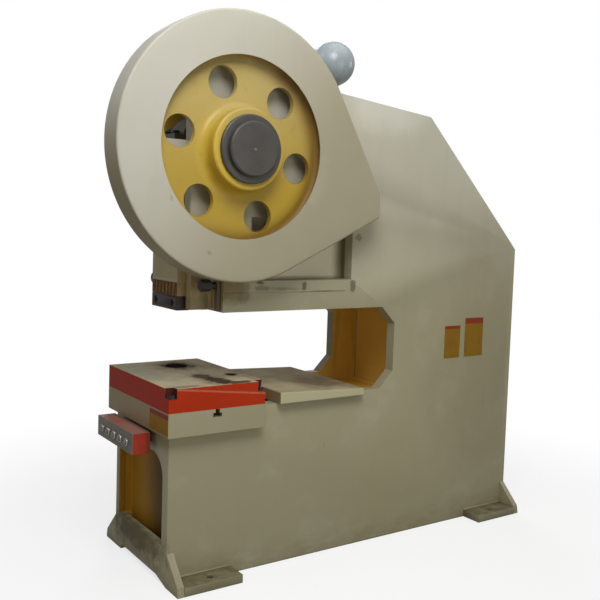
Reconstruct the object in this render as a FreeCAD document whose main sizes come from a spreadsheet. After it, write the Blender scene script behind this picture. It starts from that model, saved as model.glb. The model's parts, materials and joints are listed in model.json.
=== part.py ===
import FreeCAD, Part
import math
import os
import Sketcher
from types import SimpleNamespace

# A welded gap-frame power press, in millimetres.
# X runs across the frame, the gear side is +X.  Y runs from the front (-Y) to the rear.
# Z is up from the floor.  The origin lies on the floor, in the middle of the four anchor bolts.

doc = FreeCAD.newDocument("GapFramePress")
sheet = doc.addObject("Spreadsheet::Sheet", "Sheet")

drivingSizes = [
    # frame
    ("plateThick", 60, "thickness of the two C-shaped side plates"),
    ("frameHalf", 305, "middle plane to the outer face of a side plate"),
    ("bodyFront", -1117, "front face of the front plate"),
    ("bodyRear", 1118, "rear face of the rear plate"),
    ("endPlate", 34, "thickness of the front and rear plates"),
    ("topFrontY", -1037, "front edge of the head"),
    ("topFrontZ", 2410, "top of the head at its front edge"),
    ("topRearY", 393, "corner where the top turns into the rear slope"),
    ("topRearZ", 2280, "height of that corner"),
    ("slopeEndZ", 1572, "lower end of the rear slope"),
    ("headFrontY", -859, "front edge of the side plates beside the ram"),
    ("headStepZ", 1440, "height where that edge starts to lean forward"),
    ("headLeanZ", 1640, "height where it reaches the front of the head"),
    ("throatRoofZ", 1257, "roof of the throat"),
    ("throatFloorZ", 819, "floor of the throat"),
    ("throatBackY", 192, "back of the throat"),
    ("throatChamfer", 90, "cut corners of the throat"),
    ("tableSeatZ", 708, "seat of the table block on the side plates"),
    ("footHalf", 428, "middle plane to the tip of a foot"),
    ("footRiseZ", 160, "height where the feet start to spread"),
    ("footLength", 300, "length of a foot flange"),
    ("footThick", 40, "thickness of a foot flange"),
    ("anchorX", 370, "anchor bolt, from the middle plane"),
    ("anchorY", 927, "anchor bolt, from the origin"),
    ("anchorHole", 18, "radius of an anchor bolt hole"),
    ("archLeft", -235, "far end of the arch under the end plates"),
    ("archRight", 300, "near end of that arch"),
    ("archRise", 26, "height of that arch"),
    ("doorLeft", -265, "far edge of the front opening"),
    ("doorRight", 245, "near edge of the front opening"),
    ("doorLow", 180, "lower edge of the front opening"),
    ("doorHigh", 600, "upper edge of the front opening"),
    ("doorRound", 110, "rounding of its upper corners"),
    ("webThick", 25, "thickness of the inner webs"),
    # table
    ("tableHalf", 355, "half width of the table block and the bolster"),
    ("tableFront", -1146, "front of the table block and the bolster"),
    ("tableRear", -644, "rear of the table block and the bolster"),
    ("bolsterLow", 820, "joint between the table block and the bolster"),
    ("bolsterTop", 930, "top of the bolster"),
    ("cornerNotch", 40, "side of the bolster's corner notches"),
    ("notchDepth", 45, "depth of those notches"),
    ("dieHoleX", -190, "die hole, from the middle plane"),
    ("dieHoleY", -849, "die hole, along the frame"),
    ("dieHole", 60, "radius of the die hole"),
    ("smallHoleX", 142, "smaller hole in the bolster"),
    ("smallHoleY", -715, "smaller hole in the bolster"),
    ("smallHole", 25, "radius of the smaller hole"),
    ("slotY", -899, "middle of the T-slot"),
    ("slotNeck", 11, "half width of the T-slot's neck"),
    ("slotFoot", 23, "half width of the T-slot's foot"),
    ("slotDepth", 38, "depth of the T-slot"),
    ("slotFootHigh", 20, "height of the T-slot's foot"),
    ("slabFront", -549, "front of the rear table slab"),
    ("slabRear", -32, "rear of the rear table slab"),
    ("slabHalf", 345, "half width of the rear table slab"),
    ("slabLow", 804, "underside of the slab"),
    ("slabFrontTop", 863, "top of the slab at its front"),
    ("slabRearTop", 842, "top of the slab at its rear"),
    # crank train
    ("crankY", -835, "crankshaft axis, which is also the ram's axis"),
    ("crankZ", 2000, "crankshaft axis above the floor"),
    ("throwRadius", 50, "crank throw, half the stroke"),
    ("journal", 75, "radius of the crankshaft's journals"),
    ("crankPin", 90, "radius of the crank pin"),
    ("pinHalf", 80, "half length of the crank pin"),
    ("cheekThick", 60, "thickness of a crank cheek"),
    ("cheekRadius", 118, "radius of a crank cheek's ends"),
    ("bushWall", 15, "wall of the bronze bushes"),
    ("runningGap", 0.06, "radial clearance of the running fits"),
    ("gearModule", 10, "module of the gear pair"),
    ("gearTeeth", 108, "teeth of the main gear"),
    ("pinionTeeth", 20, "teeth of the pinion"),
    ("pinionDrop", 15, "degrees by which the pinion lies below the gear's axis"),
    ("gearStart", 315, "inner face of the main gear"),
    ("gearWide", 115, "face width of the main gear"),
    ("rimInside", 425, "inner radius of the gear's rim"),
    ("webInner", 360, "inner face of the gear's web"),
    ("webOuter", 388, "outer face of the gear's web"),
    ("hubRadius", 183, "radius of the gear's hub boss"),
    ("hubEnd", 474, "outer face of the hub boss"),
    ("webHole", 72, "radius of the six web holes"),
    ("webHoleRing", 309, "radius on which they lie"),
    ("collarRadius", 153, "radius of the locking collar"),
    ("collarEnd", 492, "outer face of the locking collar"),
    ("capRadius", 122, "radius of the end cap"),
    ("capEnd", 520, "outer face of the end cap"),
    ("guardY", -840, "middle of the gear guard's round part"),
    ("guardZ", 2008, "middle of the gear guard's round part"),
    ("guardRadius", 602, "outer radius of the gear guard"),
    ("guardFace", 443, "outer face of the gear guard"),
    ("guardWindow", 407, "radius of the guard's round window"),
    ("guardSheet", 5, "sheet thickness of the guards"),
    ("guardEndY", -52, "rear end of the gear guard"),
    # drive on the far side
    ("flywheelRadius", 450, "outer radius of the flywheel"),
    ("flywheelInner", -312, "frame side of the flywheel's rim"),
    ("flywheelOuter", -430, "outer side of the flywheel's rim"),
    ("pulleyRadius", 110, "outer radius of the motor pulley"),
    ("motorY", 643, "motor axis along the frame"),
    ("motorZ", 1520, "motor axis above the floor"),
    ("motorShaft", 22, "radius of the motor shaft"),
    ("motorRadius", 130, "outer radius of the motor's frame"),
    ("pinionShaft", 45, "radius of the pinion shaft"),
    ("grooveStart", -331, "middle of the first belt groove"),
    ("groovePitch", 19, "distance between belt grooves"),
    ("grooveDepth", 15, "depth of a belt groove"),
    ("beltGuardFace", -520, "outer face of the belt guard"),
    # ram and guides
    ("ramHalf", 140, "half width of the ram"),
    ("ramFront", -1014, "front face of the ram"),
    ("ramRear", -686, "rear face of the ram"),
    ("ramLow", 1255, "underside of the ram at the top of its stroke"),
    ("ramTop", 1640, "top of the ram"),
    ("clampTop", 1322, "top of the shank clamp"),
    ("clampSplit", 1, "half of the gap between clamp and ram"),
    ("guideY", -917, "middle of the ram's V-shaped guides"),
    ("guideDepth", 30, "depth of the V-shaped guides"),
    ("guideGap", 0.4, "sideways gap between ram and gib"),
    ("shankHole", 25, "radius of the shank hole"),
    ("shankDepth", 85, "depth of the shank hole"),
    ("ballZ", 1470, "middle of the connecting rod's ball"),
    ("ballRadius", 60, "radius of that ball"),
    ("wellHalf", 76, "half width of the ram's well"),
    ("wellFloor", 1385, "floor of the ram's well"),
    ("screwRadius", 45, "radius of the adjusting screw"),
    ("rodWide", 76, "half width of the connecting rod's big end"),
    # fittings
    ("tankY", -189, "air receiver's axis along the frame"),
    ("tankZ", 2501, "air receiver's axis above the floor"),
    ("tankRadius", 112, "radius of the air receiver"),
    ("tankHalf", 185, "half length of its straight shell"),
    ("tankDish", 110, "depth of its dished ends"),
    ("boxLeft", -255, "far end of the control box"),
    ("boxRight", 175, "near end of the control box"),
    ("boxFront", -1235, "front edge of the control box"),
    ("boxBack", -1150, "rear face of the control box"),
    ("boxLow", 603, "underside of the control box"),
    ("boxHigh", 700, "top of the control box"),
    ("boxSheet", 3, "sheet thickness of the control box"),
    ("buttonStart", -190, "first push button"),
    ("buttonPitch", 75, "distance between push buttons"),
    ("buttonZ", 650, "height of the push buttons"),
    ("buttonRadius", 14, "radius of a button cap"),
    ("buttonTravel", 4, "travel of a push button"),
]
for row, (alias, value, note) in enumerate(drivingSizes, 1):
    sheet.set(f"A{row}", note)
    sheet.set(f"B{row}", str(value))
    sheet.setAlias(f"B{row}", alias)
doc.recompute()


class Size:
    """A length that carries its number and its spreadsheet expression together."""

    def __init__(self, number, text):
        self.number = number
        self.text = text

    def __add__(self, other):
        other = asSize(other)
        return Size(self.number + other.number, f"({self.text} + {other.text})")

    def __sub__(self, other):
        other = asSize(other)
        return Size(self.number - other.number, f"({self.text} - {other.text})")

    def __mul__(self, other):
        other = asSize(other)
        return Size(self.number * other.number, f"({self.text} * {other.text})")

    def __truediv__(self, other):
        other = asSize(other)
        return Size(self.number / other.number, f"({self.text} / {other.text})")

    def __radd__(self, other):
        return asSize(other) + self

    def __rsub__(self, other):
        return asSize(other) - self

    def __rmul__(self, other):
        return asSize(other) * self

    def __neg__(self):
        return Size(-self.number, f"(-{self.text})")


def asSize(value):
    if isinstance(value, Size):
        return value
    return Size(float(value), f"({value})" if value < 0 else f"{value}")


d = SimpleNamespace(**{alias: Size(float(value), f"Sheet.{alias}") for alias, value, note in drivingSizes})

# Places that follow from the driving sizes.
inside = d.frameHalf - d.plateThick
frontBack = d.bodyFront + d.endPlate
rearFront = d.bodyRear - d.endPlate
topSlope = (d.topRearZ - d.topFrontZ) / (d.topRearY - d.topFrontY)
rearSlope = (d.slopeEndZ - d.topRearZ) / (d.bodyRear - d.topRearY)
gearPitch = d.gearModule * d.gearTeeth / 2
pinionPitch = d.gearModule * d.pinionTeeth / 2
dropCos = Size(math.cos(math.radians(d.pinionDrop.number)), "cos(Sheet.pinionDrop * 1 deg)")
dropSin = Size(math.sin(math.radians(d.pinionDrop.number)), "sin(Sheet.pinionDrop * 1 deg)")
pinionY = d.crankY + (gearPitch + pinionPitch) * dropCos
pinionZ = d.crankZ - (gearPitch + pinionPitch) * dropSin
pinZ = d.crankZ + d.throwRadius
tableTopMid = (d.tableFront + d.tableRear) / 2

nodes = []


def bind(item, path, size):
    """Ties one property to the spreadsheet; a plain number is written as it is."""
    item.setExpression(path, asSize(size).text)


def keep(item, label):
    """Names a finished sub-part and puts it on the list of nodes."""
    item.Label = label
    nodes.append(item)
    return item


# ---- solids from primitives ----

def place(item, x, y, z):
    for axis, value in zip("xyz", (x, y, z)):
        bind(item, f"Placement.Base.{axis}", value)


def box(x, y, z):
    """A block between two corners; x, y and z are (low, high) pairs."""
    item = doc.addObject("Part::Box", "Block")
    for name, (low, high) in zip(("Length", "Width", "Height"), (x, y, z)):
        bind(item, name, asSize(high) - low)
    place(item, x[0], y[0], z[0])
    return item


turnOfAxis = {
    "X": FreeCAD.Rotation(FreeCAD.Vector(0, 1, 0), 90),
    "Y": FreeCAD.Rotation(FreeCAD.Vector(1, 0, 0), -90),
    "Z": FreeCAD.Rotation(),
}


def rod(axis, start, length, radius, at):
    """A cylinder along X, Y or Z from start; at holds its two other coordinates in order."""
    item = doc.addObject("Part::Cylinder", "Round")
    item.Placement = FreeCAD.Placement(FreeCAD.Vector(), turnOfAxis[axis])
    bind(item, "Radius", radius)
    bind(item, "Height", length)
    base = list(at)
    base.insert("XYZ".index(axis), start)
    place(item, *base)
    return item


def hexHead(axis, start, length, radius, at):
    """A hexagon bolt head or nut; radius reaches its corners."""
    item = doc.addObject("Part::Prism", "Hexagon")
    item.Polygon = 6
    item.Placement = FreeCAD.Placement(FreeCAD.Vector(), turnOfAxis[axis])
    bind(item, "Circumradius", radius)
    bind(item, "Height", length)
    base = list(at)
    base.insert("XYZ".index(axis), start)
    place(item, *base)
    return item


def fuse(*items):
    item = doc.addObject("Part::MultiFuse", "Fuse")
    item.Shapes = list(items)
    item.Refine = True
    return item


def cut(base, *tools):
    item = doc.addObject("Part::Cut", "Cut")
    item.Base = base
    item.Tool = tools[0] if len(tools) == 1 else fuse(*tools)
    item.Refine = True
    return item


def common(base, tool):
    item = doc.addObject("Part::Common", "Common")
    item.Base = base
    item.Tool = tool
    return item


def group(*items):
    """Separate solids that share one node."""
    item = doc.addObject("Part::Compound", "Group")
    item.Links = list(items)
    return item


def ring(axis, start, length, outer, inner, at):
    return cut(rod(axis, start, length, outer, at), rod(axis, start, length, inner, at))


# ---- solids from sketches ----

def originPlane(body, role):
    return next(feature for feature in body.Origin.OriginFeatures if feature.Role == role)


def pin(sketch, kind, index, point, size):
    """Ties one coordinate of a sketch point to the sheet."""
    if asSize(size).number == 0:
        axis = -1 if kind == "DistanceY" else -2
        sketch.addConstraint(Sketcher.Constraint("PointOnObject", index, point, axis))
        return
    number = sketch.addConstraint(Sketcher.Constraint(kind, -1, 1, index, point, asSize(size).number))
    bind(sketch, f"Constraints[{number}]", size)


def newSketch(body, role, offset):
    sketch = body.newObject("Sketcher::SketchObject", "Profile")
    sketch.AttachmentSupport = (originPlane(body, role), [""])
    sketch.MapMode = "FlatFace"
    if asSize(offset).number != 0:
        bind(sketch, "AttachmentOffset.Base.z", offset)
    return sketch


def outline(body, role, offset, corners):
    """A closed outline of straight lines through the corners, each tied to the sheet."""
    sketch = newSketch(body, role, offset)
    points = [FreeCAD.Vector(asSize(a).number, asSize(b).number, 0) for a, b in corners]
    count = len(points)
    for index in range(count):
        sketch.addGeometry(Part.LineSegment(points[index], points[(index + 1) % count]), False)
    for index in range(count):
        sketch.addConstraint(Sketcher.Constraint("Coincident", index, 2, (index + 1) % count, 1))
    for index, (a, b) in enumerate(corners):
        pin(sketch, "DistanceX", index, 1, a)
        pin(sketch, "DistanceY", index, 1, b)
    return sketch


def plate(role, low, high, corners):
    """A plate between two parallel planes, padded from its outline."""
    body = doc.addObject("PartDesign::Body", "Plate")
    start = -asSize(high) if role == "XZ_Plane" else low      # this plane's normal is -Y
    pad = body.newObject("PartDesign::Pad", "Pad")
    pad.Profile = outline(body, role, start, corners)
    bind(pad, "Length", asSize(high) - low)
    return body


def cutThrough(body, sketch):
    pocket = body.newObject("PartDesign::Pocket", "Pocket")
    pocket.Profile = sketch
    pocket.Type = 1
    pocket.Midplane = True
    return pocket


def window(body, role, corners):
    """An opening of any outline, right through the body."""
    return cutThrough(body, outline(body, role, 0, corners))


def drill(body, role, holes):
    """Round holes right through the body, each given as (a, b, radius)."""
    sketch = newSketch(body, role, 0)
    for index, (a, b, radius) in enumerate(holes):
        centre = FreeCAD.Vector(asSize(a).number, asSize(b).number, 0)
        circle = Part.Circle(centre, FreeCAD.Vector(0, 0, 1), asSize(radius).number)
        sketch.addGeometry(circle, False)
        pin(sketch, "DistanceX", index, 3, a)
        pin(sketch, "DistanceY", index, 3, b)
        number = sketch.addConstraint(Sketcher.Constraint("Radius", index, asSize(radius).number))
        bind(sketch, f"Constraints[{number}]", radius)
    return cutThrough(body, sketch)


def roundEdges(body, radius, wanted):
    """Rounds the edges of the body that the test picks."""
    doc.recompute()
    tip = body.Tip
    names = [f"Edge{i}" for i, edge in enumerate(tip.Shape.Edges, 1) if wanted(edge)]
    fillet = body.newObject("PartDesign::Fillet", "Rounding")
    fillet.Base = (tip, names)
    bind(fillet, "Radius", radius)
    return fillet


def turned(corners, y, z):
    """A solid of revolution about a line along X; corners are (x, radius)."""
    body = doc.addObject("PartDesign::Body", "Turned")
    sketch = outline(body, "XY_Plane", 0, corners)
    turning = body.newObject("PartDesign::Revolution", "Turning")
    turning.Profile = sketch
    turning.ReferenceAxis = (sketch, ["H_Axis"])
    turning.Angle = 360
    bind(body, "Placement.Base.y", y)
    bind(body, "Placement.Base.z", z)
    return body


def roundEdgeAt(x, radius):
    """A test for the round edge of a turned body at this station and radius."""
    def wanted(edge):
        curve = edge.Curve
        if not isinstance(curve, Part.Circle):
            return False
        centre = edge.Vertexes[0].Point
        return abs(centre.x - x.number) < 0.01 and abs(curve.Radius - radius.number) < 0.01
    return wanted


def span(a, b):
    """A (low, high) pair from two places in any order."""
    a, b = asSize(a), asSize(b)
    return (a, b) if a.number < b.number else (b, a)


# ---- frame ----

def frameOutline():
    """The C-shaped outline of a side plate."""
    backFloor = d.throatBackY - d.throatChamfer
    rearTop = d.topRearZ + (rearFront - d.topRearY) * rearSlope
    return [
        (frontBack, 0), (frontBack, d.tableSeatZ), (d.tableRear, d.tableSeatZ),
        (d.tableRear, d.slabLow), (d.slabRear, d.slabLow), (d.slabRear, d.throatFloorZ),
        (backFloor, d.throatFloorZ),
        (d.throatBackY, d.throatFloorZ + d.throatChamfer),
        (d.throatBackY, d.throatRoofZ - d.throatChamfer), (backFloor, d.throatRoofZ),
        (d.headFrontY, d.throatRoofZ), (d.headFrontY, d.headStepZ), (d.topFrontY, d.headLeanZ),
        (d.topFrontY, d.topFrontZ), (d.topRearY, d.topRearZ), (rearFront, rearTop), (rearFront, 0),
    ]


gibBolts = SimpleNamespace(upperX=asSize(218), upper=(1520, 1660), lowerX=asSize(262), lower=asSize(1382),
                           radius=12, padFront=asSize(-827), padBack=asSize(-797), padEdge=asSize(160))
recess = SimpleNamespace(front=asSize(-717), rear=asSize(-114), low=asSize(1405), high=asSize(1705))
housing = SimpleNamespace(crank=d.journal + d.bushWall, pinion=d.pinionShaft + d.bushWall, wall=20)
motorOpening = d.motorRadius + 14
webSet = 64


def sidePlates():
    """The two C-shaped plates, each with a welded pad that its gib is bolted to."""
    bearings = [(d.crankY, d.crankZ, housing.crank + housing.wall),
                (pinionY, pinionZ, housing.pinion + housing.wall)]
    right = plate("YZ_Plane", inside, d.frameHalf, frameOutline())
    window(right, "YZ_Plane", [(recess.front, recess.low), (recess.rear, recess.low),
                               (recess.rear, recess.high), (recess.front, recess.high)])
    drill(right, "YZ_Plane", bearings)
    left = plate("YZ_Plane", -d.frameHalf, -inside, frameOutline())
    drill(left, "YZ_Plane", bearings + [(d.motorY, d.motorZ, motorOpening)])
    doorRelief = box((d.doorLeft, -inside), (frontBack, d.bodyFront + webSet), (d.doorLow, d.doorHigh))
    for side, outer, label in ((1, right, "side_plate_right"), (-1, left, "side_plate_left")):
        pad = box(span(side * gibBolts.padEdge, side * inside), (gibBolts.padFront, gibBolts.padBack),
                  (d.throatRoofZ + 5, d.ramTop + 60))
        tools = [rod("Y", gibBolts.padFront, gibBolts.padBack - gibBolts.padFront, gibBolts.radius,
                     (side * gibBolts.upperX, z)) for z in gibBolts.upper]
        tools.append(rod("Y", d.headFrontY, 60, gibBolts.radius, (side * gibBolts.lowerX, gibBolts.lower)))
        if side < 0:
            tools.append(doorRelief)
        keep(cut(fuse(outer, pad), *tools), label)


def footOutline(top):
    """An end plate: straight sides, spread feet and an arch between them."""
    tip = d.footHalf
    knee = d.footHalf - 8
    upperRight = [(tip, 0), (knee, 45), (d.frameHalf, d.footRiseZ), (d.frameHalf, top)]
    upperLeft = [(-a, b) for a, b in reversed(upperRight)]
    arch = [(d.archLeft, 0), (d.archLeft + 13, d.archRise), (d.archRight - 110, d.archRise), (d.archRight, 0)]
    return upperRight + upperLeft + arch


def endPlates():
    front = plate("XZ_Plane", d.bodyFront, frontBack, footOutline(d.tableSeatZ))
    window(front, "XZ_Plane", [(d.doorLeft, d.doorLow), (d.doorRight, d.doorLow),
                               (d.doorRight, d.doorHigh), (d.doorLeft, d.doorHigh)])

    def upperCorner(edge):
        ends = [vertex.Point for vertex in edge.Vertexes]
        alongY = len(ends) == 2 and abs(ends[0].x - ends[1].x) < 0.01 and abs(ends[0].z - ends[1].z) < 0.01
        atSide = min(abs(ends[0].x - d.doorLeft.number), abs(ends[0].x - d.doorRight.number)) < 0.01
        return alongY and atSide and abs(ends[0].z - d.doorHigh.number) < 0.01
    roundEdges(front, d.doorRound, upperCorner)
    keep(front, "front_plate")
    rear = plate("XZ_Plane", rearFront, d.bodyRear, footOutline(d.slopeEndZ))
    rearTop = d.topRearZ + (rearFront - d.topRearY) * rearSlope
    wedge = plate("YZ_Plane", -d.frameHalf, d.frameHalf, [
        (rearFront, d.slopeEndZ), (d.bodyRear, d.slopeEndZ), (rearFront, rearTop)])
    keep(fuse(rear, wedge), "rear_plate")


def feet():
    """Four flanges with an anchor hole each, welded to the side plates behind the end plates."""
    solids = []
    for side in (1, -1):
        for end in (-1, 1):
            nearX = side * d.frameHalf
            farX = side * d.footHalf
            y = (frontBack, frontBack + d.footLength) if end < 0 else (rearFront - d.footLength, rearFront)
            x = (nearX, farX) if side > 0 else (farX, nearX)
            flange = box(x, y, (0, d.footThick))
            hole = rod("Z", 0, d.footThick, d.anchorHole, (side * d.anchorX, end * d.anchorY))
            solids.append(cut(flange, hole))
    keep(group(*solids), "anchor_feet")


def innerPlates():
    across = (-inside, inside)
    webFront = d.bodyFront + webSet
    throatWebY = d.throatBackY + 176
    floorTop = d.slabLow - 39
    keep(box(across, (webFront, webFront + d.webThick), (0, d.tableSeatZ)), "front_web")
    keep(box(across, (d.tableRear, throatWebY + d.webThick), (floorTop - d.webThick, floorTop)),
         "throat_floor_plate")
    keep(box(across, (throatWebY, throatWebY + d.webThick), (floorTop, d.throatRoofZ + 5)), "throat_web")
    keep(box(across, (asSize(-640), throatWebY + d.webThick),
             (d.throatRoofZ + 5, d.throatRoofZ + 5 + d.webThick)), "head_floor_plate")
    rearTop = d.topRearZ + (rearFront - d.topRearY) * rearSlope
    keep(plate("YZ_Plane", -inside, inside,
               [(d.topFrontY, d.topFrontZ), (d.topFrontY, d.topFrontZ - d.webThick),
                (d.topRearY - 9, d.topRearZ - d.webThick), (rearFront, rearTop - 34),
                (rearFront, rearTop), (d.topRearY, d.topRearZ)]), "roof_plate")
    wall = 10
    panBody = box((inside - 50, inside), (recess.front - wall, recess.rear + wall),
                  (recess.low - wall, recess.high + wall))
    panSpace = box((inside - 30, inside), (recess.front, recess.rear), (recess.low, recess.high))
    keep(cut(panBody, panSpace), "recess_pan")
    ledge = box((d.frameHalf, d.frameHalf + 5), (d.headFrontY, recess.rear - 33), (1350, recess.low))
    keep(ledge, "side_ledge")


# ---- table ----

def notchedCorners():
    """The table's two corners on the gear side as (y, sign of the way out)."""
    return ((d.tableFront, -1), (d.tableRear, 1))


frameBolts = []


def table():
    half = d.tableHalf
    block = plate("YZ_Plane", -half, half, [
        (d.tableFront, d.tableSeatZ), (d.tableRear, d.tableSeatZ), (d.tableRear, d.bolsterLow),
        (d.slotY + d.slotNeck, d.bolsterLow),
        (d.slotY + d.slotNeck, d.bolsterLow - d.slotDepth + d.slotFootHigh),
        (d.slotY + d.slotFoot, d.bolsterLow - d.slotDepth + d.slotFootHigh),
        (d.slotY + d.slotFoot, d.bolsterLow - d.slotDepth),
        (d.slotY - d.slotFoot, d.bolsterLow - d.slotDepth),
        (d.slotY - d.slotFoot, d.bolsterLow - d.slotDepth + d.slotFootHigh),
        (d.slotY - d.slotNeck, d.bolsterLow - d.slotDepth + d.slotFootHigh),
        (d.slotY - d.slotNeck, d.bolsterLow), (d.tableFront, d.bolsterLow)])
    boltRadius = 12
    inset = d.cornerNotch / 2
    seats = [(half - inset, y - end * inset) for y, end in notchedCorners()]
    boltLow = d.bolsterLow - 60
    blockHigh = d.bolsterLow - d.tableSeatZ
    blockTools = [rod("Z", d.tableSeatZ, blockHigh, d.dieHole + 15, (d.dieHoleX, d.dieHoleY)),
                  rod("Z", d.tableSeatZ, blockHigh, d.smallHole, (d.smallHoleX, d.smallHoleY))]
    blockTools += [rod("Z", boltLow, 60, boltRadius, seat) for seat in seats]
    keep(cut(block, *blockTools), "table_block")

    thick = d.bolsterTop - d.bolsterLow
    slabBlock = box((-half, half), (d.tableFront, d.tableRear), (d.bolsterLow, d.bolsterTop))
    tools = [rod("Z", d.bolsterLow, thick, d.dieHole, (d.dieHoleX, d.dieHoleY)),
             rod("Z", d.bolsterLow, thick, d.smallHole, (d.smallHoleX, d.smallHoleY))]
    for y, end in notchedCorners():
        tools.append(box((half - d.cornerNotch, half), span(y, y - end * d.cornerNotch),
                         (d.bolsterTop - d.notchDepth, d.bolsterTop)))
    tools += [rod("Z", d.bolsterLow, thick, boltRadius + 1, seat) for seat in seats]
    keep(cut(slabBlock, *tools), "bolster_plate")

    headLow = d.bolsterTop - d.notchDepth
    frameBolts.extend(fuse(rod("Z", boltLow, headLow - boltLow, boltRadius, seat),
                           hexHead("Z", headLow, 15, 20, seat)) for seat in seats)

    keep(plate("YZ_Plane", -d.slabHalf, d.slabHalf, [
        (d.slabFront, d.slabLow), (d.slabRear, d.slabLow),
        (d.slabRear, d.slabRearTop), (d.slabFront, d.slabFrontTop)]), "rear_table_slab")


# ---- crank train ----

def crankshaft():
    """Two journals, two oval cheeks and the crank pin, shown with the pin on top."""
    axis = (d.crankY, d.crankZ)
    pinAxis = (d.crankY, pinZ)
    cheekOut = d.pinHalf + d.cheekThick
    pieces = [rod("X", -d.frameHalf - 15, d.frameHalf + 15 - cheekOut + 1, d.journal, axis),
              rod("X", -d.pinHalf - 1, 2 * d.pinHalf + 2, d.crankPin, pinAxis),
              rod("X", cheekOut - 1, d.hubEnd + 1 - cheekOut, d.journal, axis)]
    for start in (-cheekOut, d.pinHalf):
        pieces.append(rod("X", start, d.cheekThick, d.cheekRadius, axis))
        pieces.append(rod("X", start, d.cheekThick, d.cheekRadius, pinAxis))
        pieces.append(box((start, start + d.cheekThick),
                          (d.crankY - d.cheekRadius, d.crankY + d.cheekRadius), (d.crankZ, pinZ)))
    keep(fuse(*pieces), "crankshaft")


def bearings():
    """Flanged housings in the side plates, each with a bronze bush."""
    flangeThick = 40
    lip = 4
    housings = []
    bushes = []
    for side in (1, -1):
        for y, z, shaft, bore, flange in ((d.crankY, d.crankZ, d.journal, housing.crank, 60),
                                          (pinionY, pinionZ, d.pinionShaft, housing.pinion, 50)):
            inner = side * (inside - flangeThick)
            seat = side * inside
            outer = side * (d.frameHalf + lip)
            housings.append(turned([(inner, bore), (inner, bore + flange), (seat, bore + flange),
                                    (seat, bore + housing.wall), (outer, bore + housing.wall),
                                    (outer, bore)], y, z))
            fit = shaft + d.runningGap
            bushes.append(turned([(inner, fit), (inner, bore), (outer, bore), (outer, fit)], y, z))
    keep(group(*housings), "bearing_housings")
    keep(group(*bushes), "bearing_bushes")


def involutePoint(baseRadius, radius, turn, mirror):
    """A point of an involute flank at this radius, turned about the gear's centre."""
    roll = math.sqrt((radius / baseRadius) ** 2 - 1)
    angle = turn + mirror * (roll - math.atan(roll))
    return radius * math.cos(angle), radius * math.sin(angle)


def toothedOutline(module, teeth, firstTooth, thinning):
    """The outline of a spur gear in the YZ plane, each tooth two involute flanks and two arcs."""
    pressure = math.radians(20)
    pitch = module * teeth / 2
    base = pitch * math.cos(pressure)
    tip = pitch + module
    root = pitch - 1.25 * module
    low = max(base, root) + 0.01
    involuteAtPitch = math.tan(pressure) - pressure
    halfTooth = (math.pi * module / 2 - thinning) / 2 / pitch
    step = 2 * math.pi / teeth
    toVector = lambda p: FreeCAD.Vector(0, p[0], p[1])
    onCircle = lambda radius, angle: FreeCAD.Vector(0, radius * math.cos(angle), radius * math.sin(angle))
    edges = []
    for tooth in range(teeth):
        middle = firstTooth + tooth * step
        start = middle - halfTooth - involuteAtPitch
        end = middle + halfTooth + involuteAtPitch
        rising = [toVector(involutePoint(base, r, start, 1)) for r in (low, (low + tip) / 2, tip)]
        falling = [toVector(involutePoint(base, r, end, -1)) for r in (tip, (low + tip) / 2, low)]
        foot = math.atan2(rising[0].z, rising[0].y) - middle
        foot = abs((foot + math.pi) % (2 * math.pi) - math.pi)
        rootStart = onCircle(root, middle - foot)
        rootEnd = onCircle(root, middle + foot)
        nextRoot = onCircle(root, middle + step - foot)
        edges.append(Part.LineSegment(rootStart, rising[0]).toShape())
        edges.append(Part.Arc(*rising).toShape())
        edges.append(Part.Arc(rising[2], onCircle(tip, middle), falling[0]).toShape())
        edges.append(Part.Arc(*falling).toShape())
        edges.append(Part.LineSegment(falling[2], rootEnd).toShape())
        edges.append(Part.Arc(rootEnd, onCircle(root, middle + step / 2), nextRoot).toShape())
    return Part.Wire(edges)


def toothedRing(label, teeth, firstTooth, bore, start, width, y, z):
    """A ring with straight teeth; its sizes are read from the sheet."""
    outer = toothedOutline(d.gearModule.number, int(teeth.number), firstTooth, 0.8)
    circle = Part.Circle(FreeCAD.Vector(), FreeCAD.Vector(1, 0, 0), bore.number)
    inner = Part.Wire([circle.toShape()])
    face = Part.makeFace([outer, inner], "Part::FaceMakerBullseye")
    item = doc.addObject("Part::Feature", label)
    item.Shape = face.extrude(FreeCAD.Vector(width.number, 0, 0))
    item.Placement = FreeCAD.Placement(FreeCAD.Vector(start.number, y.number, z.number), FreeCAD.Rotation())
    return item


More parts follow.
